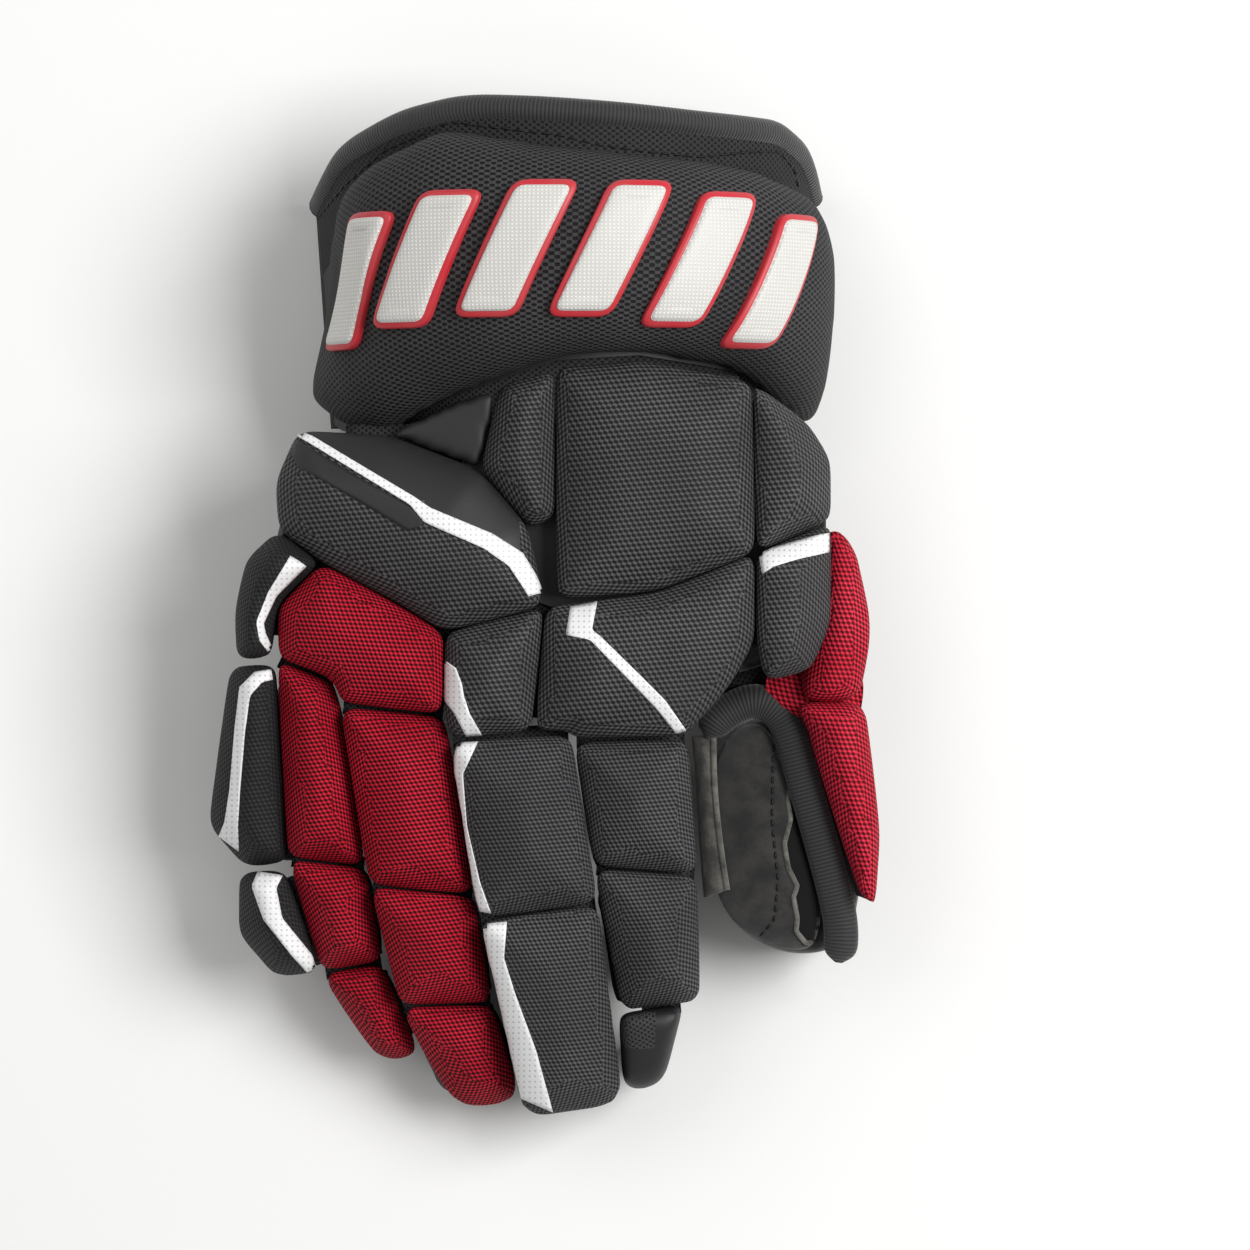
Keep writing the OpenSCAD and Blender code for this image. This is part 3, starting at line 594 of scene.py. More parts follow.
# %% Air mesh, knitted lining and ribbed tape
def holed(name, hole_shade, thread, shine, pitch, hole_size):
    """Knit with staggered holes: the holes are sunk and painted dark as shade, and painted shade between the
    strands makes the threads between them look round
    """
    material, tree = new_material(name)
    open_at = between(tree, waves(tree, pitch, 0), 1 - hole_size - 0.35, 1 - hole_size + 0.3)
    # Painted shade between the strands of thread
    strands = between(tree, waves(tree, (pitch[0] / 2, pitch[1] * 3), 0), -0.6, 0.8, 0.75, 1.0)
    lit = mixed(tree, 1.0, worn(tree, 45, thread, shine), strands, "MULTIPLY")
    fine = relief(tree, open_at, 0.5, 1.0, invert=True)
    # The holes' dark colour is painted shade
    return skinned(material, {"Base Color": mixed(tree, open_at, lit, linear(hole_shade)), "Roughness": 0.7,
                              "IOR": 1.5, "Specular IOR Level": 0.3,
                              "Normal": relief(tree, cloudy(tree, 12, 2.0), 0.8, 0.4, onto=fine)})


# Polyester air mesh: a dull dark knit, its holes about 1.2 mm long
air_mesh = holed("polyester_air_mesh", "#030304", "#3a3a3c", "#454547", (3.0, 2.3), 0.8)
# Lining knit: the same construction, finer and blacker, inside the cuff and the hand
lining_knit = holed("polyester_lining_knit", "#070708", "#28282a", "#303032", (2.6, 1.9), 0.6)
# Ribbed polyester tape: cords lie side by side across it. They are 0.85 mm wide, and are drawn at
# 1.3 mm so that they show in the picture.
CORD_MM = 1.3
tape, tree = new_material("ribbed_polyester_tape")
along = add(tree, "SeparateXYZ", {0: add(tree, "UVMap", uv_map=WEAVE)}, "X")
cords = between(tree, ripple(tree, along, CORD_MM), -1, 0.6)
# The dark grooves between the cords are painted shade
colour = mixed(tree, cords, linear("#121213"), worn(tree, 20, "#2a2a2c", "#323234", 0.25, 0.75))
soft = relief(tree, cloudy(tree, 14, 2.0), 0.7, 0.5, onto=relief(tree, cords, 0.25, 0.9))
skinned(tape, {"Base Color": colour, "Roughness": 0.72, "IOR": 1.5, "Sheen Weight": 0.25, "Normal": soft})
print("cuff fabrics:", air_mesh.name, lining_knit.name, tape.name)

# %% Roll and lining of the cuff
ARM_X, ARM_Z, ARM_R, FLARE, WRIST_Y = 6.5 * MM, -10 * MM, 84 * MM, 0.07, 59 * MM
WAIST_X, WAIST_Y, WAIST = -58 * MM, 112 * MM, 11.5 * MM


def wrap_map(made):
    """Weave map that runs round the arm and along it, in millimetres"""
    co = coordinates(made.data)
    x, z = co[:, 0] - ARM_X, co[:, 2] - ARM_Z
    out = np.hypot(x, z)
    # Towards both edges the surface turns inward, and the way inward counts as length too
    inward = np.percentile(out, 90) - out
    along = co[:, 1] + SLOPE * inward * np.tanh((co[:, 1] - co[:, 1].mean()) / 0.012)
    mapped(made, np.c_[np.arctan2(x, z) * ARM_R, along] * 1000)


roll = smoothed(remeshed(from_shape(shape_of("cuff_roll"), "cuff_roll_cover"), 3.2 * MM), 4)
co = coordinates(roll.data)
waist = np.clip((WAIST_X - co[:, 0]) / (24 * MM), 0, 1)
co[:, 0] += WAIST * waist * np.cos(np.clip((co[:, 1] - WAIST_Y) / (40 * MM), -1, 1) * math.pi / 2)
stuffed({"roll": placed(roll, co)}, 3.0)
wrap_map(roll)
dressed(roll, air_mesh, "cuff", "cuff_roll")
print("roll points:", len(roll.data.vertices))

# %% [markdown]
# The rim is bound with ribbed tape rolled round a soft core. A swept tube is right here: the rim is
# one smooth line, and the ribs follow it by themselves when the map counts millimetres along it.

# %% Rolled rim
RIM_X = np.array([-84, -70, -49, -27, 0, 25, 52, 80, 90, 95]) * MM
RIM_Y = (83 + 86 * np.array([0.62, 0.84, 0.95, 1, 0.985, 0.965, 0.94, 0.925, 0.84, 0.67])) * MM
RIM_SINK = 2.25 * MM
UP = [(0, 0, 1)]


def even_path(points, step):
    """Smooth path through points, with even steps"""
    points = np.array(points, float)
    for _ in range(3):
        cut = np.empty((2 * len(points) - 2, points.shape[1]))
        cut[0::2] = 0.75 * points[:-1] + 0.25 * points[1:]
        cut[1::2] = 0.25 * points[:-1] + 0.75 * points[1:]
        points = np.vstack([points[:1], cut, points[-1:]])
    run = run_of(points)
    return at_lengths(points, run, np.linspace(0, run[-1], int(run[-1] / step) + 1))


def swept(name, path, profile, ups=UP):
    """Closed profile (sideways, up), or one for each step, swept along a path, with a weave map in mm"""
    path = np.array(path)
    along = np.gradient(path, axis=0)
    along /= np.linalg.norm(along, axis=1, keepdims=True)
    side = np.cross(along, ups)
    side /= np.linalg.norm(side, axis=1, keepdims=True)
    up = np.cross(side, along)
    n = len(path)
    shapes = np.array(profile) if np.ndim(profile) == 3 else np.repeat(np.array(profile)[None], n, 0)
    m = shapes.shape[1]
    verts = (path[:, None] + side[:, None] * shapes[..., :1] + up[:, None] * shapes[..., 1:]).reshape(-1, 3)
    made = mesh_object(name, verts, quads(n, m, ring=True) + [range(m), range(n * m - 1, (n - 1) * m - 1, -1)])
    run, girth = run_of(path) * 1000, run_of(shapes[n // 2]) * 1000
    mapped(made, [(u, v) for u in run for v in girth])
    return made


def oval(width, height, sides=14):
    """Rounded profile"""
    turn = [2 * math.pi * k / sides for k in range(sides)]
    return [(width / 2 * math.cos(t), height / 2 * math.sin(t)) for t in turn]


def cone_point(angle, y, over):
    """Point at an angle round the arm, a place along it and a height over the cone"""
    r = ARM_R + FLARE * (y - WRIST_Y) + over
    return ARM_X + r * math.sin(angle), y, ARM_Z + r * math.cos(angle)


def rim_y(angle):
    """Place of the rim along the arm, at an angle round it"""
    return np.interp(ARM_X + 1.07 * ARM_R * math.sin(angle), RIM_X, RIM_Y)


turns = np.radians(np.linspace(-78, 78, 27))
rim_path = even_path([cone_point(a, rim_y(a), -RIM_SINK) for a in turns], 2 * MM)
outward = (rim_path - [ARM_X, 0, ARM_Z]) * [1, 0, 1]
rim = swept("cuff_rim_binding", rim_path, oval(9.4 * MM, 8.4 * MM), outward)
dressed(rim, tape, "cuff", "cuff_binding")
print("rim length:", round(float(run_of(rim_path)[-1]), 3), "m")

# %% [markdown]
# The lining is one arched sheet of knit over thin foam. It runs from the wrist up into the rolled rim.

# %% Lining
FRONT_Y = 62 * MM


def arch_sheet(name, low, high, reach, columns=60, rows=26):
    """Closed sheet under the arch between two heights over the cone, from the wrist to the rim"""
    turns = np.radians(np.linspace(-reach, reach, columns + 1))
    verts = [cone_point(a, y, over) for over in (low, high) for a in turns
             for y in np.linspace(FRONT_Y, rim_y(a), rows + 1)]
    w, n = rows + 1, (columns + 1) * (rows + 1)
    sheet = quads(columns + 1, w)
    faces = [(a, d, c, b) for a, b, c, d in sheet] + [[n + i for i in face] for face in sheet]
    edge = [i * w for i in range(columns)] + [columns * w + j for j in range(rows)]
    edge += [i * w + rows for i in range(columns, 0, -1)] + list(range(rows, 0, -1))
    return mesh_object(name, verts, faces + [(a, n + a, n + b, b) for a, b in zip(edge, edge[1:] + edge[:1])])


lining = arch_sheet("cuff_inner_lining", -4.3 * MM, -0.1 * MM, 77)
wrap_map(lining)
dressed(lining, lining_knit, "cuff", "cuff_lining", divided=False)
# The faces of this mesh are turned inward, so those whose normals point away from the arm lie on its
# inside. They get the roll's air mesh, and the outside, seen between roll and rim, keeps the knit.
lining.data.materials.append(air_mesh)
for panel in lining.data.polygons:
    from_arm = panel.center - Vector((ARM_X, panel.center.y, ARM_Z))
    panel.material_index = int(panel.normal.dot(from_arm) > 0)
print("lining:", len(lining.data.polygons), "faces")

# %% [markdown]
# ## Raised bars on the cuff
# Six soft rubber bars are moulded in two colours and welded to the air mesh: a red sole that shows
# as a rim, and a white face with a fine dotted grip. Each bar is drawn flat as a slanted outline,
# lifted in rings, and then laid on the roll: a ray towards the arm finds the roll under each point.

# %% Two-colour bars
def moulded(name, colour, rough, dots=None):
    """Soft moulded rubber, plain or with a fine grid of raised dots (pitch in mm)"""
    material, tree = new_material(name)
    dusty = between(tree, cloudy(tree, 18), 0.3, 0.7, 0.0, 0.12)
    skin = {"Base Color": mixed(tree, dusty, linear(colour), linear("#8a8a88")), "Roughness": rough, "IOR": 1.45}
    if dots:
        raised = between(tree, waves(tree, (dots, dots), 45), 0.1, 0.8)
        # Between the raised dots the white is painted grey as shade
        skin["Base Color"] = mixed(tree, raised, linear("#cfcdc8"), skin["Base Color"])
        skin["Normal"] = relief(tree, raised, 0.25, 0.6)
    return skinned(material, skin)


# White thermoplastic rubber with a dotted grip, and the same rubber in red
white_rubber = moulded("white_moulded_rubber", "#efede9", 0.45, 1.8)
red_rubber = moulded("red_moulded_rubber", "#c52b36", 0.42)


def surface(*made):
    """Search tree over the finished meshes of some objects"""
    verts, faces = [], []
    for piece in made:
        data = evaluated(piece)
        faces += [[len(verts) + i for i in f.vertices] for f in data.polygons]
        verts += [v.co.copy() for v in data.vertices]
        bpy.data.meshes.remove(data)
    return BVHTree.FromPolygons(verts, faces)


CORNER_STEPS = 5


def rounded(points, radius):
    """Closed outline with every corner rounded"""
    made = []
    for i, b in enumerate(points):
        a, b, c = np.array(points[i - 1]), np.array(b), np.array(points[(i + 1) % len(points)])
        p, q = (b + (e - b) / np.linalg.norm(e - b) * radius for e in (a, c))
        for t in np.linspace(0, 1, CORNER_STEPS):
            made.append(p * (1 - t) ** 2 + b * 2 * t * (1 - t) + q * t * t)
    return np.array(made)


# Rings of a bar in mm: how far it is drawn in, its height over the roll, and 1 for the white face
BAR_RINGS = [(0, -2.2, 0), (0, 2.2, 0), (0.35, 2.9, 0), (1.7, 3.1, 0), (2.0, 3.1, 0), (2.2, 3.9, 1),
             (2.8, 4.3, 1), (4.0, 4.5, 1), (6.5, 4.5, 1)]
BAR_LEAN, BAR_WIDE, BAR_TALL, BAR_ROUND = math.tan(math.radians(24)), 10.5, 23, 5
BARS, BAR_APART, BAR_Y, BAR_DROP = 6, 16.4, 120, 1.6
LAID_R = 105 * MM
roll_tree = surface(roll)


def laid_on_roll(across, y, height):
    """Point at a height over the roll, for a place in mm round the arm and along it"""
    a = across * MM / LAID_R
    out = Vector((math.sin(a), 0, math.cos(a)))
    base = Vector((ARM_X, y * MM, ARM_Z))
    hit = roll_tree.ray_cast(base + out * 0.3, -out)[0]
    return base + out * ((hit - base).length + height * MM)


def bar_line(mid, mid_y, depth):
    """Slanted outline with round corners, drawn in by a depth, with more points on its long sides"""
    wide, tall = BAR_WIDE - depth, BAR_TALL - depth
    corners = [(mid + x * wide + y * tall * BAR_LEAN, mid_y + y * tall)
               for x, y in ((-1, 1), (-1, -1), (1, -1), (1, 1))]
    ends = rounded(corners, max(1.0, BAR_ROUND - depth)).reshape(4, CORNER_STEPS, 2)
    line = []
    for i, more in enumerate((11, 3, 11, 3)):
        line += [*ends[i], *np.linspace(ends[i][-1], ends[(i + 1) % 4][0], more + 2)[1:-1]]
    return line


def bar(k):
    """Points, faces, colours and map of one bar: k counts from the middle of the cuff"""
    mid, mid_y = math.radians(BAR_APART * k) * LAID_R / MM, BAR_Y - BAR_DROP * k * k
    rings = [bar_line(mid, mid_y, depth) for depth, _, _ in BAR_RINGS]
    verts = [laid_on_roll(*p, height) for ring, (_, height, _) in zip(rings, BAR_RINGS) for p in ring]
    n = len(rings[0])
    faces = quads(len(rings), n, ring=True)
    tones = [tone for _, _, tone in BAR_RINGS[1:] for _ in range(n)]
    # The top: quads across from side to side, and one polygon at each end
    top = (len(rings) - 1) * n
    pairs = [(top + (n - 2 + i) % n, top + (n - 2 - i) % n) for i in range(n // 2 + 1)]
    faces += [(a, c, d, b) for (a, b), (c, d) in zip(pairs[3:-3], pairs[4:-3])]
    faces += [[top + (middle + i) % n for i in range(-3, 4)] for middle in (n - 2, n // 2 - 2)]
    return verts, faces, tones + [1] * (len(faces) - len(tones)), [p for ring in rings for p in ring]


verts, faces, tones, flat = [], [], [], []
for k in np.arange(BARS) - (BARS - 1) / 2:
    v, f, t, m = bar(k)
    faces += [[i + len(verts) for i in face] for face in f]
    verts, tones, flat = verts + v, tones + t, flat + m
bars = covered(mesh_object("cuff_bar_mouldings", verts, faces), red_rubber, white_rubber)
bars.data.polygons.foreach_set("material_index", tones)
mapped(bars, flat)
seated(bars, "cuff", "cuff_bars")
print("bars:", len(verts), "points")

# %% [markdown]
# ## White stripes
# Thin white film is pressed on to some pads in narrow stripes that step wider at their ends. A
# stripe is given by its two edges as picture points. Every point of the strip is dropped along the
# camera's ray on to its own pad, so that the strip follows each swell of the pad and moves with it.

# %% Film that follows a pad
# White polyurethane film with small dimples from the press; the dimples are painted grey as shade
film, tree = new_material("white_polyurethane_film")
dimple = between(tree, waves(tree, (2.6, 2.6), 45), 0.5, 0.9)
skinned(film, {"Base Color": mixed(tree, dimple, linear("#f0f0f0"), linear("#c9c9ca")), "Roughness": 0.5,
               "IOR": 1.45, "Normal": relief(tree, dimple, 0.2, 0.5, invert=True)})
# Picture points between rows, probes in a row, rows on both sides that even out an end, cells across
ROW_PX, PROBES, EVEN_ROWS, CELLS = 4, 41, 2, 6


def even_line(points, step):
    """Points along a broken line at even steps, with its corners kept"""
    points = np.array(points, float)
    run = run_of(points)
    return at_lengths(points, run, np.unique(np.r_[np.arange(0, run[-1], step), run]))


def dropped(tree, u, v, lift, steepest=0.0):
    """Place where the camera's ray through a picture point meets a surface, lifted off it, or None"""
    ray = (picture(u, v) - eye).normalized()
    hit, normal, _, _ = tree.ray_cast(eye, ray)
    if hit is None or abs(normal.z) < steepest:
        return None
    return hit + (normal if normal.z > 0 else -normal) * lift


def strip(name, node, left, right, finish=film, lift=0.3 * MM, thick=0.35 * MM, steepest=0.15):
    """Thin film between two lines of picture points on the pad of a node"""
    tree = surface(pads[node])
    count = int(run_of(left)[-1] / ROW_PX)
    sides = []
    for line in (even_line(left, 2), even_line(right, 2)):
        run = run_of(line)
        sides.append(at_lengths(line, run, np.linspace(0, run[-1], count)))
    # The part of each row that lies on the pad, and not on its steep side; its ends are then evened out
    ends = []
    for a, b in zip(*sides):
        on_pad = [t for t in np.linspace(0, 1, PROBES) if dropped(tree, *(a + (b - a) * t), lift, steepest)]
        ends.append((on_pad[0], on_pad[-1]) if on_pad else (1, 0))
    ends = np.array(ends, float)
    good = ends[:, 0] < ends[:, 1]
    verts, faces, flat, index = [], [], [], {}
    for i in np.flatnonzero(good):
        near = slice(max(0, i - EVEN_ROWS), i + EVEN_ROWS + 1)
        first, last = ends[near][good[near]].mean(0)
        for j in range(CELLS + 1):
            u, v = sides[0][i] + (sides[1][i] - sides[0][i]) * (first + (last - first) * j / CELLS)
            place = dropped(tree, u, v, lift)
            if place:
                index[i, j] = len(verts)
                verts.append(place)
                flat.append((u * PIXEL / MM, v * PIXEL / MM))
    rings = [[index.get(q) for q in ((i, j), (i, j + 1), (i + 1, j + 1), (i + 1, j))]
             for i in range(count - 1) for j in range(CELLS)]
    made = covered(mesh_object(name, verts, [ring for ring in rings if None not in ring]), finish)
    mapped(made, flat)
    thickened(made, thick, 1)
    seated(made, body_of[node])


# Each stripe: its pad, then its left and right edges in picture points
STRIPES = {
    "stripe_outer_roll": (
        "backhand_outer_roll", [(299, 429), (414, 497), (430, 508), (492, 534), (522, 553), (545, 592)],
        [(295, 435), (410, 505), (424, 522), (484, 549), (508, 566), (528, 596)]),
    "stripe_thumb_side": (
        "thumb_side_lower", [(760, 555), (772, 549), (800, 541), (832, 532)],
        [(763, 574), (774, 567), (801, 559), (832, 551)]),
    "stripe_outer_cap": (
        "knuckle_outer_cap", [(290, 556), (268, 592), (256, 622), (259, 640), (272, 658)],
        [(306, 566), (276, 596), (263, 624), (266, 636), (280, 654)]),
    "stripe_middle_knuckle": (
        "knuckle_middle", [(438, 655), (440, 684), (444, 700), (454, 712), (466, 736)],
        [(456, 668), (462, 684), (464, 696), (470, 714), (482, 735)]),
    "stripe_index_knuckle": (
        "knuckle_index", [(571, 603), (566, 635), (590, 640), (632, 683), (656, 708), (676, 733)],
        [(598, 598), (592, 630), (600, 636), (641, 676), (665, 700), (686, 730)]),
    "stripe_little_1": (
        "little_1_side", [(283, 668), (255, 672), (240, 687), (235, 730), (230, 790), (225, 822), (219, 836)],
        [(284, 677), (262, 682), (250, 696), (245, 732), (240, 792), (238, 826), (239, 851)]),
    "stripe_middle_1": (
        "middle_1_pad", [(458, 743), (449, 772), (454, 820), (466, 880), (478, 918)],
        [(478, 742), (463, 774), (467, 826), (480, 882), (494, 921)]),
    "stripe_little_2": (
        "little_2_side", [(262, 860), (252, 886), (264, 920), (292, 956), (310, 975)],
        [(288, 866), (276, 888), (282, 918), (306, 948), (324, 968)]),
    "stripe_middle_2": (
        "middle_2_pad", [(478, 925), (482, 955), (494, 1000), (508, 1050), (521, 1098)],
        [(507, 922), (504, 958), (516, 996), (536, 1050), (553, 1112)]),
}
for name, (node, left, right) in STRIPES.items():
    strip(name, node, left, right, steepest=0.34 if node.startswith("middle") else 0.15)
print("stripes:", len(STRIPES))

# %% [markdown]
# Some of the cuts are not woven: the small panel at the wrist and the upper part of the outer roll
# are smooth coated leather. A part of a pad gets its own finish by its place in the picture.

# %% Smooth panels
def smooth_leather(name, colour, rough):
    """Coated synthetic leather: nearly plain, with a fine pebble and a low gloss"""
    material, tree = new_material(name)
    pebble = relief(tree, cloudy(tree, 0.9, 2.0), 0.1, 0.35)
    return skinned(material, {"Base Color": linear(colour), "Roughness": rough, "IOR": 1.5, "Normal": pebble})


# Black synthetic leather with a dull gloss
black_leather = smooth_leather("black_synthetic_leather", "#202022", 0.55)
PANELS = {"backhand_wrist_panel": [(300, 350), (600, 350), (600, 560), (300, 560)],
          "backhand_outer_roll": [(270, 400), (520, 400), (520, 560), (490, 541), (420, 503), (297, 432)]}
for node, outline in PANELS.items():
    data = pads[node].data
    data.materials.append(black_leather)
    middles = np.array([(f.center.x / PIXEL + ORIGIN_U, ORIGIN_V - f.center.y / PIXEL) for f in data.polygons])
    data.polygons.foreach_set("material_index", inside(middles, np.array(outline)).astype(np.int32))
# A bare patch of the same leather lies along the lower edge of the stripe
strip("outer_roll_patch", "backhand_outer_roll", [(293, 437), (350, 472), (410, 506), (424, 522)],
      [(285, 448), (300, 468), (360, 502), (408, 531), (421, 526)], black_leather, 0.1 * MM,
      0.15 * MM)
print("smooth panels:", len(PANELS) + 1)

# %% [markdown]
# ## Finger stalls
# Below its pads each finger is a sleeve: knitted mesh at the sides, thin suede on the palm side, so
# that the hand can feel the stick. The hull of the inner solid gives the sleeve's outside. It is let
# out a little, so that two fingers touch, and relaxed until it looks sewn rather than cut.

# %% Suede, leather and knit
def suede(name, dark, pale, patch_mm):
    """Napped leather: soft pale patches where it is worn, and a fine grain"""
    material, tree = new_material(name)
    nap = between(tree, cloudy(tree, 1.1, 2.0), 0.3, 0.75, 0.72, 1.0)
    colour = mixed(tree, 1.0, worn(tree, patch_mm, dark, pale, 0.32, 0.68, 5.0), nap, "MULTIPLY")
    grain = relief(tree, cloudy(tree, 1.4, 3.0), 0.3, 0.6)
    return skinned(material, {"Base Color": colour, "Roughness": 0.9, "IOR": 1.4, "Sheen Weight": 0.35,
                              "Sheen Roughness": 0.6,
                              "Normal": relief(tree, cloudy(tree, 14, 3.0), 1.6, 0.6, onto=grain)})


# Grey goat suede of palm, thumb and finger stalls
palm_suede = suede("grey_palm_suede", "#100f0e", "#32302e", 9)
# The same suede where the stick has rubbed it pale
worn_suede = suede("worn_palm_suede", "#403e3a", "#76736b", 6)
# Stretch mesh between the fingers, much like the lining but greyer
gusset_mesh = holed("grey_stretch_mesh", "#101011", "#3a3a3c", "#444446", (2.4, 1.7), 0.5)
print("soft finishes:", palm_suede.name, black_leather.name, gusset_mesh.name)

# %% Sleeves of the fingers
SIDEWAYS = Vector((math.cos(FINGER_TURN), math.sin(FINGER_TURN), 0))
ALONG = Vector((-math.sin(FINGER_TURN), math.cos(FINGER_TURN), 0))
FINGERS = ("little", "ring", "middle", "index")
STATIONS = np.arange(-0.19, -0.02, 3 * MM)
GAP_SHARE, INDEX_SHARE, WIDEST_GAP = {"1": 0, "2": 0.28, "3": 0.4}, 0.62, 8 * MM


def hull_of(node, name, wider=0.0, shift=0.0):
    """Closed hull of a node, let out sideways by a length on both sides"""
    shape = bmesh.new()
    for vert in frame["nodes"][node].data.vertices:
        shape.verts.new(vert.co)
    bmesh.ops.remove_doubles(shape, verts=shape.verts, dist=1e-6)
    inner = bmesh.ops.convex_hull(shape, input=shape.verts)["geom_interior"]
    bmesh.ops.delete(shape, geom=[g for g in inner if isinstance(g, bmesh.types.BMVert)], context="VERTS")
    across = [v.co.dot(SIDEWAYS) for v in shape.verts]
    low, high = min(across), max(across)
    for vert in shape.verts:
        from_middle = vert.co.dot(SIDEWAYS) - (low + high) / 2
        vert.co += SIDEWAYS * (from_middle * 2 * wider / (high - low) + shift)
    return from_shape(shape, name)


def two_finishes(made, first, second, turn):
    """One finish on the sides of a sleeve, and another where it faces down"""
    weave_map(covered(made, first, second), turn)
    made.data.polygons.foreach_set("material_index", [int(f.normal.z < -0.45) for f in made.data.polygons])


def seen_from_hand(rows):
    """Places across the fingers and along them"""
    return rows @ np.array(SIDEWAYS), rows @ np.array(ALONG)


def sides(pieces):
    """Lowest and highest place across the hand, for stations along the fingers"""
    across, along = seen_from_hand(np.vstack([coordinates(p.data) for p in pieces]))
    near = [across[np.abs(along - t) < 3 * MM] for t in STATIONS]
    known = [k for k, places in enumerate(near) if len(places)]
    return [np.interp(STATIONS, STATIONS[known], [pick(near[k]) for k in known]) for pick in (np.min, np.max)]


sleeves = {}
for node in [n for n in frame["nodes"] if n.endswith("_stall") and n != "thumb_stall"]:
    # The little finger's sleeve also reaches under its side pads
    room = (4.1 * MM, -3 * MM) if node in ("little_1_stall", "little_2_stall") else (1.1 * MM, 0)
    sleeves[node] = smoothed(remeshed(hull_of(node, node + "_sleeve", *room), 2.2 * MM), 14)
whole = [sides([pads[n] for n in pads if n.startswith(f) and n.endswith("_pad")]
               + [p for n, p in sleeves.items() if n.startswith(f)]) for f in FINGERS]
for node, sleeve in sleeves.items():
    # Let the outer sleeves out into the gap beside them, so that only a dark line is left between fingers
    finger, part, _ = node.split("_")
    k = FINGERS.index(finger)
    out = INDEX_SHARE if finger == "index" else GAP_SHARE[part]
    low, high = sides([sleeve])
    reach_low, reach_high = low, high
    if out and k > 0:
        gap = np.clip(whole[k][0] - whole[k - 1][1], 0, WIDEST_GAP)
        reach_low = np.minimum(low, whole[k][0] - out * gap)
    if out and k < 3 and node != "middle_2_stall":  # the bare index tip needs that gap
        gap = np.clip(whole[k + 1][0] - whole[k][1], 0, WIDEST_GAP)
        reach_high = np.maximum(high, whole[k][1] + out * gap)
    co = coordinates(sleeve.data)
    across, along = seen_from_hand(co)
    low, high, reach_low, reach_high = [np.interp(along, STATIONS, r) for r in (low, high, reach_low, reach_high)]
    share = (across - (low + high) / 2) / ((high - low) / 2)
    move = np.where(share > 0, reach_high - high, low - reach_low) * share
    two_finishes(placed(sleeve, co + move[:, None] * np.array(SIDEWAYS)), gusset_mesh, palm_suede, FINGER_TURN)
    seated(sleeve, body_of[node], node)
print("sleeves:", len(sleeves))

# %% [markdown]
# The index finger ends in a bare cap: black leather round the tip and a small window of mesh on its
# back. It is a hull again, drawn in, because there is no foam on it.

# %% Index tip
WINDOW_X, WINDOW_Y = 0.038, -0.152
tip = smoothed(remeshed(hull_of("index_tip", "index_tip_cap", -2.3 * MM, -3.3 * MM), 1.6 * MM), 4)
weave_map(covered(tip, black_leather, gusset_mesh), FINGER_TURN)
for face in tip.data.polygons:
    face.material_index = int(face.normal.z > 0.3 and face.center.y > WINDOW_Y and face.center.x < WINDOW_X)
seated(tip, body_of["index_tip"], "index_tip")
print("index tip:", len(tip.data.vertices), "points")

# %% [markdown]
# Where two pads meet over a knuckle, a narrow roll of foam-backed mesh closes the crease. It stays
# where it is made and is hung on no body.

# %% Crease rolls over the folds
# Width of each crease and how far it slants along the finger, in mm
FOLDS = {"index_knuckle_fold": (38, -5), "index_middle_fold": (34, -8), "index_tip_fold": (15, -1),
         "middle_knuckle_fold": (40.5, -4), "middle_middle_fold": (40.5, -1),
         "ring_knuckle_fold": (34.3, -9), "ring_middle_fold": (34.3, -9), "ring_tip_fold": (31, -4),
         "little_knuckle_fold": (18, -11), "little_middle_fold": (25.4, -7), "little_tip_fold": (21, 0)}
ARCH_SLANT, ARCH_TOP, ARCH_BEND = 0.15, 0.045, 1.5e-5
joints = {j["name"]: j for j in frame["record"]["behaviour"]["joints"]}


def crease(fold, path, profile, finish):
    """Soft roll over a fold, left in place on no body"""
    made = covered(swept(fold.replace("_fold", "_crease"), path, profile), finish)
    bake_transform(made)


for fold, (width, slant) in FOLDS.items():
    at = Vector(joints[fold]["pos_m"])
    path = [at + SIDEWAYS * s * (width - 1.5) * MM + ALONG * slant * s * MM
            + Vector((0, 0, (0.2 * slant * s - 1.5) * MM)) for s in np.linspace(-0.5, 0.5, 9)]
    crease(fold, even_path(path, 2.5 * MM), oval(6.6 * MM, 1.6 * MM, 10), gusset_mesh)
# The thumb's crease is a slanted arch of its red weave, highest at x = 92 mm
at = Vector(joints["thumb_fold"]["pos_m"])
path = [Vector((x * MM, at.y + (96 - x) * ARCH_SLANT * MM, ARCH_TOP - (x - 92) ** 2 * ARCH_BEND))
        for x in np.linspace(77, 107, 13)]
crease("thumb_fold", even_path(path, 2 * MM), oval(17 * MM, 9 * MM), painted_lit_red)
print("creases:", len(FOLDS) + 1)

# %% [markdown]
# ## Thumb
# The thumb's back is a red pad, and its inner face is suede that faces the index finger. A wide band
# of ribbed tape closes the edge between the two. Stitches hold the suede, and along the band its cut
# edge stands open as a dark, frayed slot.

# %% Band, face and sleeve of the thumb
BAND = [(55.5, -45), (57.5, -40.5), (61, -37), (67.7, -33), (73.8, -32.3), (80.2, -36), (84, -43), (87.4, -56),
        (94.2, -79), (100.6, -103), (101.8, -113.5), (100.6, -122.5)]
BAND_Z, BAND_STEP, BAND_END = 42.8, 2 * MM, 6 * MM
band_path = even_path([Vector((x, y, BAND_Z)) * MM for x, y in BAND], BAND_STEP)
count = np.arange(len(band_path))
round_end = np.sqrt(1 - np.clip(1 - np.minimum(count, count[::-1]) * BAND_STEP / BAND_END, 0, 0.98) ** 2)
band = swept("thumb_ribbed_band", band_path, np.array(oval(12.2 * MM, 9.4 * MM, 16)) * round_end[:, None, None])
dressed(band, tape, "thumb", "thumb_binding")

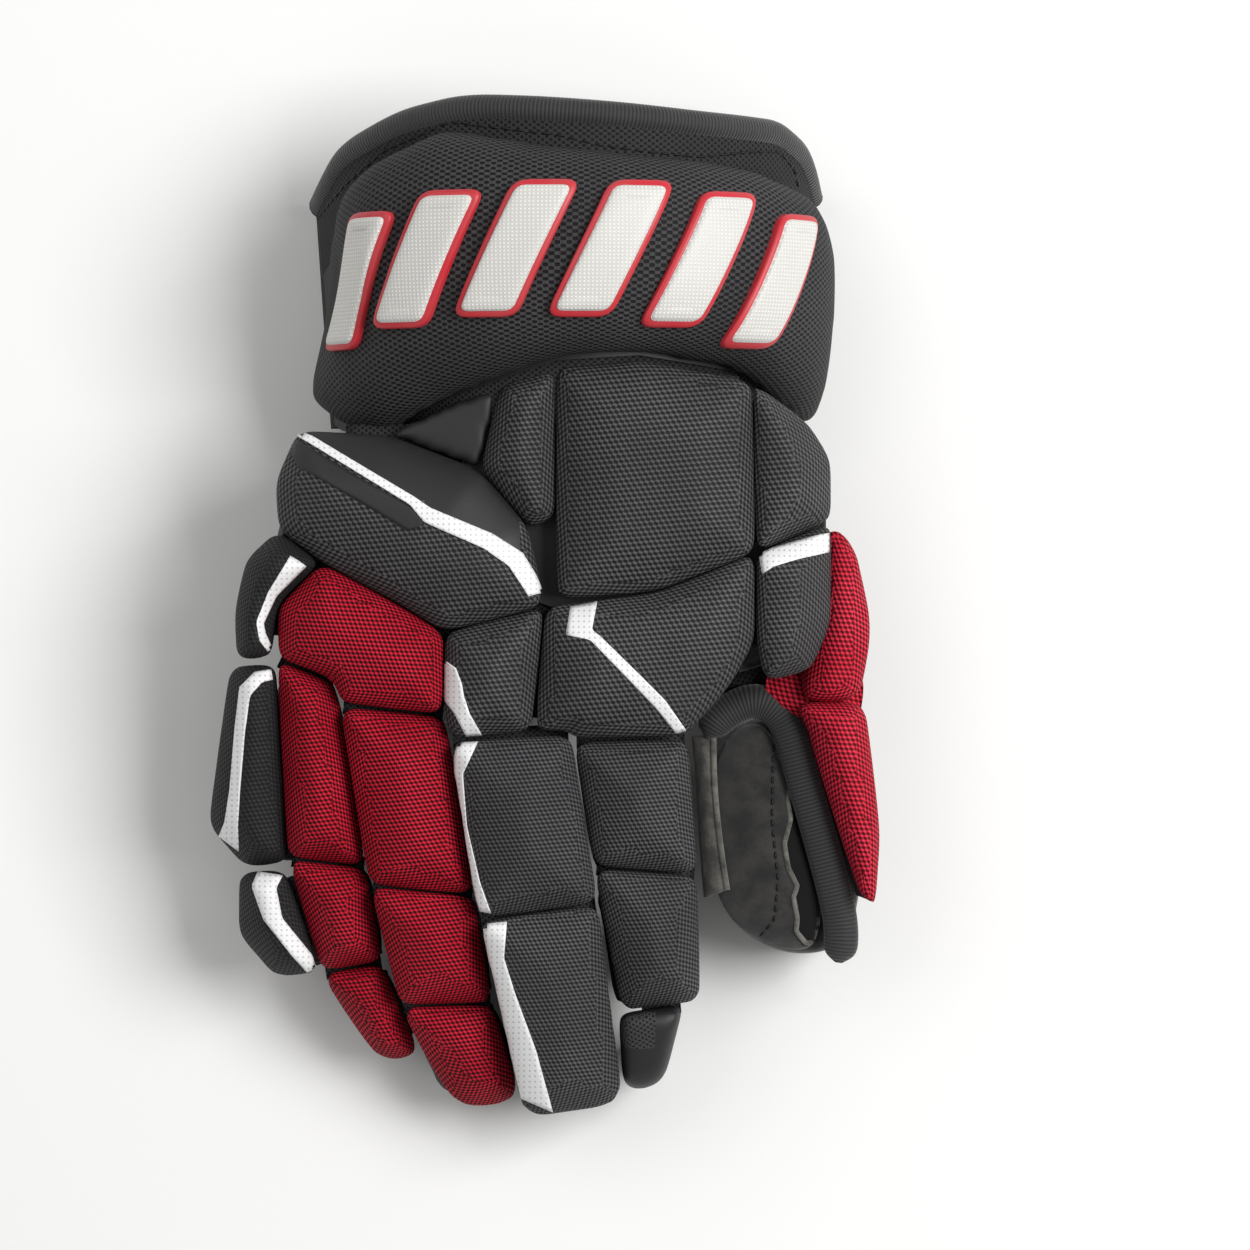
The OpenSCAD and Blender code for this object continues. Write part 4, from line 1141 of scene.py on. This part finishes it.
face = pads["thumb_face"] = foam_pad("thumb_face", wall=0.3)
stuffed({"face": face}, 2.0)
weave_map(face)
dressed(face, palm_suede, "thumb", "thumb_face")
sleeve = smoothed(remeshed(hull_of("thumb_stall", "thumb_sleeve"), 3 * MM), 16)
two_finishes(sleeve, palm_suede, palm_suede, 0)
seated(sleeve, "thumb", "thumb_stall")
print("thumb band:", len(band_path), "steps")

# %% [markdown]
# The open slot is a thin black strip on the face, and its frayed edge a thin roll of pale suede.
# Stitches are short rounded dashes of thread that sink in at both ends. One mesh holds a whole seam.

# %% Slot and stitches
# Black lining in the shade of the open edge of the suede, as a flat strip of painted shadow
slot_shadow = smooth_leather("lining_in_painted_shadow", "#020202", 1.0)
# Black bonded thread
thread = smooth_leather("black_bonded_thread", "#0c0c0d", 0.6)
strip("thumb_open_slot", "thumb_face",
      [(789, 780), (788, 800), (790, 819), (785, 844), (788, 868), (797, 886), (793, 897), (797, 918), (796, 930),
       (806, 942)],
      [(795, 780), (800, 800), (805, 830), (810, 856), (816, 880), (820, 900), (824, 915), (826, 923), (823, 934),
       (814, 942)], slot_shadow, 0.2 * MM, 0.1 * MM)


def seam_places(tree, points, step=3, lift=0.1 * MM):
    """Places along a line of picture points on a surface"""
    found = [dropped(tree, u, v, lift) for u, v in even_line(points, step)]
    return [p for p in found if p is not None]


THREAD_WIDE, THREAD_HIGH = 0.75 * MM, 0.45 * MM


def stitches(name, places, body, length, gap):
    """Row of stitches along a line of places; lengths in mm"""
    places = np.array([tuple(p) for p in places])
    run = run_of(places) / MM
    rise = Vector((0, 0, THREAD_HIGH))
    verts, faces = [], []
    for start in np.arange(0, run[-1] - length, length + gap):
        a, b = (Vector(p) for p in at_lengths(places, run, np.array([start, start + length])))
        side = (b - a).normalized().cross(Vector((0, 0, 1))).normalized() * THREAD_WIDE / 2
        faces += [[len(verts) + i for i in face] for face in quads(4, 4, ring=True)]
        for share, lift in ((0, -0.4), (0.2, 0.8), (0.8, 0.8), (1, -0.4)):
            middle = a.lerp(b, share) + rise * lift
            verts += [middle - side, middle + rise, middle + side, middle - rise]
    seated(covered(mesh_object(name, verts, faces), thread), body)


FRAY = [(789, 782), (787, 800), (790, 819), (784, 844), (788, 868), (797, 886), (793, 897), (797, 918), (796, 931),
        (806, 943), (818, 940)]
FACE_SEAM = [(773, 745), (772, 820), (778, 880), (775, 920), (752, 946), (735, 940), (712, 912)]
RIM_SEAM = [(315, 222), (345, 185), (385, 150), (450, 122), (500, 128), (560, 135), (600, 145), (650, 152),
            (700, 157), (750, 152), (780, 152), (795, 170), (800, 195)]
face_tree = surface(face)
fray_path = even_path(seam_places(face_tree, FRAY, 5, 0.4 * MM), 1.2 * MM)
fray = swept("thumb_frayed_edge", fray_path, oval(1.7 * MM, 1.5 * MM, 8))
dressed(fray, worn_suede, "thumb", divided=False)
stitches("thumb_face_stitches", seam_places(face_tree, FACE_SEAM), "thumb", 2.4, 1.3)
stitches("cuff_rim_stitches", seam_places(surface(lining, rim), RIM_SEAM), "cuff", 3.0, 1.6)
print("seams: 2, frayed edge:", len(fray_path), "steps")

# %% [markdown]
# ## Palm and liner
# Palm, overlay and gussets are flat cuts of suede and knit, sewn edge to edge. A solid copy with
# rounded edges is enough for them: nothing but their finish shows, and they never leave their plane.

# %% Palm, overlay, gussets and liner
def flat_piece(node, name, finish, slot, fill):
    """Copy of a thin solid with soft edges and a finish"""
    shape = shape_of(node)
    bmesh.ops.dissolve_limit(shape, angle_limit=0.01, verts=shape.verts, edges=shape.edges)
    made = from_shape(shape, name)
    weave_map(made)
    made.data.materials.append(finish)
    soft = made.modifiers.new("soft_edge", "BEVEL")
    soft.width, soft.segments, soft.angle_limit = 0.7 * MM, 2, math.radians(40)
    return seated(made, body_of[node], node)


CUTS = {"palm_panel": ("palm_suede_panel", palm_suede, "palm_suede"),
        "palm_overlay": ("palm_worn_overlay", worn_suede, "palm_suede"),
        "outer_gusset": ("outer_wall_mesh", gusset_mesh, "gusset_knit"),
        "thumb_gusset": ("thumb_wall_mesh", gusset_mesh, "gusset_knit"),
        "finger_roots": ("finger_root_mesh", gusset_mesh, "gusset_knit"),
        "hand_liner": ("hand_lining_pad", lining_knit, "lining")}
for node, how in CUTS.items():
    if not node.startswith("palm"):
        flat_piece(node, *how, fill=0.3)
        continue
    cut = flat_piece(node, *how, fill=None)
    low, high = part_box(node)
    width, length = high[0] - low[0], math.hypot(high[1] - low[1], high[2] - low[2])
    # Width and length of the flat cut, from the box of the thin solid
    print(node, "cut from", round(width * 1000), "x", round(length * 1000), "mm")

# %% [markdown]
# The stiff inserts of the back, the cuff and the thumb are hidden but for a glint in the deepest
# creases. They keep their exact solids and only get a near-black finish: painted shade, so that where they show in
# the creases they read dark.

# %% Hidden inserts
# Polyethylene sheet, thermoformed, coloured near black as painted shade for the creases where it shows
insert = smooth_leather("polyethylene_insert_painted_shade", "#131314", 0.5)
INSERTS = ("backhand_plate", "cuff_plate", "thumb_plate")
for node in INSERTS:
    frame["nodes"][node].data.materials.clear()
    frame["nodes"][node].data.materials.append(insert)
print("inserts:", INSERTS)

# %% [markdown]
# All pads of the hand are sewn to one backing of knit. It shows only as darkness between them, but
# without it the floor would shine through the corners. Its height follows the seat of the nearest
# pad, and a few rounds of averaging make it one soft sheet.

# %% Backing under the pads of the hand
seats = [seat_of(n) for n in PADS if body_of[n] == "hand" and n != "thumb_pad_upper"]
STEP, BACKING_DROP = 4 * MM, 2.2 * MM
xs, ys = np.arange(-0.108, 0.104, STEP), np.arange(-0.05, 0.092, STEP)
grid = np.array([(x, y) for x in xs for y in ys])
across, along = grid.T
# Distance of each grid point to each seam, negative inside
depth = np.array([np.where(inside(grid, line), -1, 1) * distance_in(grid, line) for line, _, _ in seats])
planes = np.array([plane[0] + grid @ plane[1:] for _, plane, _ in seats])
shape = (len(xs), len(ys))
height = (planes[depth.argmin(0), np.arange(len(grid))] - BACKING_DROP).reshape(shape)
for _ in range(3):
    ring = np.pad(height, 1, mode="edge")
    height = (ring[:-2, 1:-1] + ring[2:, 1:-1] + ring[1:-1, :-2] + ring[1:-1, 2:] + 2 * height) / 6
# Kept are the points well inside a pad, those in the gap between two pads, and a patch at the wrist
nearest, second = np.sort(depth, axis=0)[:2]
wrist = (across < -0.048) & (across > -0.07) & (along > 0.046) & (along < 0.064)
kept = ((nearest < -1.5 * MM) | ((second < 9 * MM) & (nearest < 1.2 * MM)) | wrist)
cells = [(a, d, c, b) for a, b, c, d in quads(*shape) if kept[[a, b, c, d]].all()]
backing = mesh_object("hand_backing", np.c_[grid, height.ravel()], cells)
edited(backing, lambda made: bmesh.ops.delete(
    made, geom=[v for v in made.verts if not v.link_faces], context="VERTS"))
weave_map(backing)
dressed(backing, lining_knit, "hand", divided=False)
thickened(backing, 0.8 * MM, -1)
print("backing:", len(cells), "cells")

# %% [markdown]
# ## Side walls and thumb web
# At both sides the pads of the back reach past the palm, and soft walls close the hand there: mesh
# towards the little finger, suede towards the thumb. Each wall is a sheet drawn between a line under
# the pads and the edge of the palm.

# %% Walls between the pads and the palm
def palm_height(y):
    """Height of the palm's upper side at a place along the hand, in mm"""
    return 30 * max(0, 45 - y) / 81 + 2.6


def drawn_between(name, upper, lower, bulge, finish, rows=10, step=3.0):
    """Sheet between two lines in mm, which swells by a length in mm; gives it and its area"""
    count = int(max(run_of(upper)[-1], run_of(lower)[-1]) / step) + 2
    lines = []
    for line in (upper, lower):
        path = even_path(line, 0.5)
        lines.append(path[np.linspace(0, len(path) - 1, count).round().astype(int)])
    verts = [(a * (1 - t) + b * t + np.array(bulge) * 4 * t * (1 - t)) * MM
             for a, b in zip(*lines) for t in np.linspace(0, 1, rows + 1)]
    faces = [(a, d, c, b) for a, b, c, d in quads(count, rows + 1)]
    made = covered(mesh_object(name, verts, faces), finish)
    weave_map(made)
    thickened(made, 1.2 * MM, 0)
    return made, sum(f.area for f in made.data.polygons)


def under_pad(node, x, y):
    """Point 1 mm below a pad's seat, in mm"""
    plane = seat_of(node)[1]
    return x, y, (plane[0] + plane[1] * x * MM + plane[2] * y * MM) / MM - 1


# Each wall: its upper line under some pads, its lower line on the palm, its swell, finish and length
WALLS = {"outer_side_wall": (
             {"backhand_outer_roll": [(-78, 53), (-86, 42), (-88, 26)],
              "knuckle_outer_cap": [(-93, 14), (-97, 0), (-97, -12)]},
             [(-80, 52), (-82, 42), (-83, 28), (-86, 14), (-89, 2), (-91, -6)],
             (-5, 0, 0), gusset_mesh, "gusset_knit", 0.085),
         "thumb_side_wall": (
             {"thumb_side_upper": [(84, 55), (93, 44), (96, 24)], "thumb_side_lower": [(95, 2), (86, -16)],
              "knuckle_index": [(66, -22)]},
             [(62, 52), (60, 40), (55, 25), (50, 10), (48, -4), (50, -16)],
             (3, 0, -3), palm_suede, "palm_suede", 0.105)}
for name, (upper, lower, bulge, finish, slot, length) in WALLS.items():
    top = [under_pad(node, *p) for node, places in upper.items() for p in places]
    wall, area = drawn_between(name, top, [(x, y, palm_height(y)) for x, y in lower], bulge, finish)
    seated(wall, "hand")
    print(name, "cut from", round(area / length * 1000), "x", round(length * 1000), "mm")

# %% [markdown]
# The small web between thumb and index finger is a worn strip of suede with a thick cut edge. It is
# sewn to the thumb's face. Its cut edge is hung on the thumb, and the strip itself stays where it is made, on no
# body.

# %% Web between thumb and hand
WEB_LEFT = [(694, 738), (699, 790), (702, 850), (706, 901)]
WEB_RIGHT = [(714, 736), (715, 790), (721, 848), (728, 893)]
WEB_Z = np.array([42.0, 42.2, 42.9, 43.8])  # just over the thumb's face, and 5 mm lower at the finger
ROOT = [(716, 700), (728, 688), (748, 677), (778, 669)]
ROOT_Z = 35 * MM
lines = [[(*(picture(u, v) / MM)[:2], z) for (u, v), z in zip(*side)]
         for side in ((WEB_LEFT, WEB_Z - 5), (WEB_RIGHT, WEB_Z))]
web, area = drawn_between("thumb_web_strip", *lines, (0, 0, 1.5), worn_suede)
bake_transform(web)
cut = even_path([Vector((x, y, z + 0.4)) * MM for x, y, z in lines[1]], 1.5 * MM)
cut_edge = swept("thumb_web_cut_edge", cut, oval(2.2 * MM, 2 * MM, 8))
dressed(cut_edge, worn_suede, "thumb", divided=False)
# A roll of lining closes the thumb's root under the index knuckle
root_path = even_path([picture(u, v, ROOT_Z) for u, v in ROOT], 2 * MM)
root_roll = swept("thumb_root_roll", root_path, oval(13 * MM, 6 * MM, 12))
dressed(root_roll, lining_knit, "hand", divided=False)
print("web:", round(area * 1e6), "mm2")
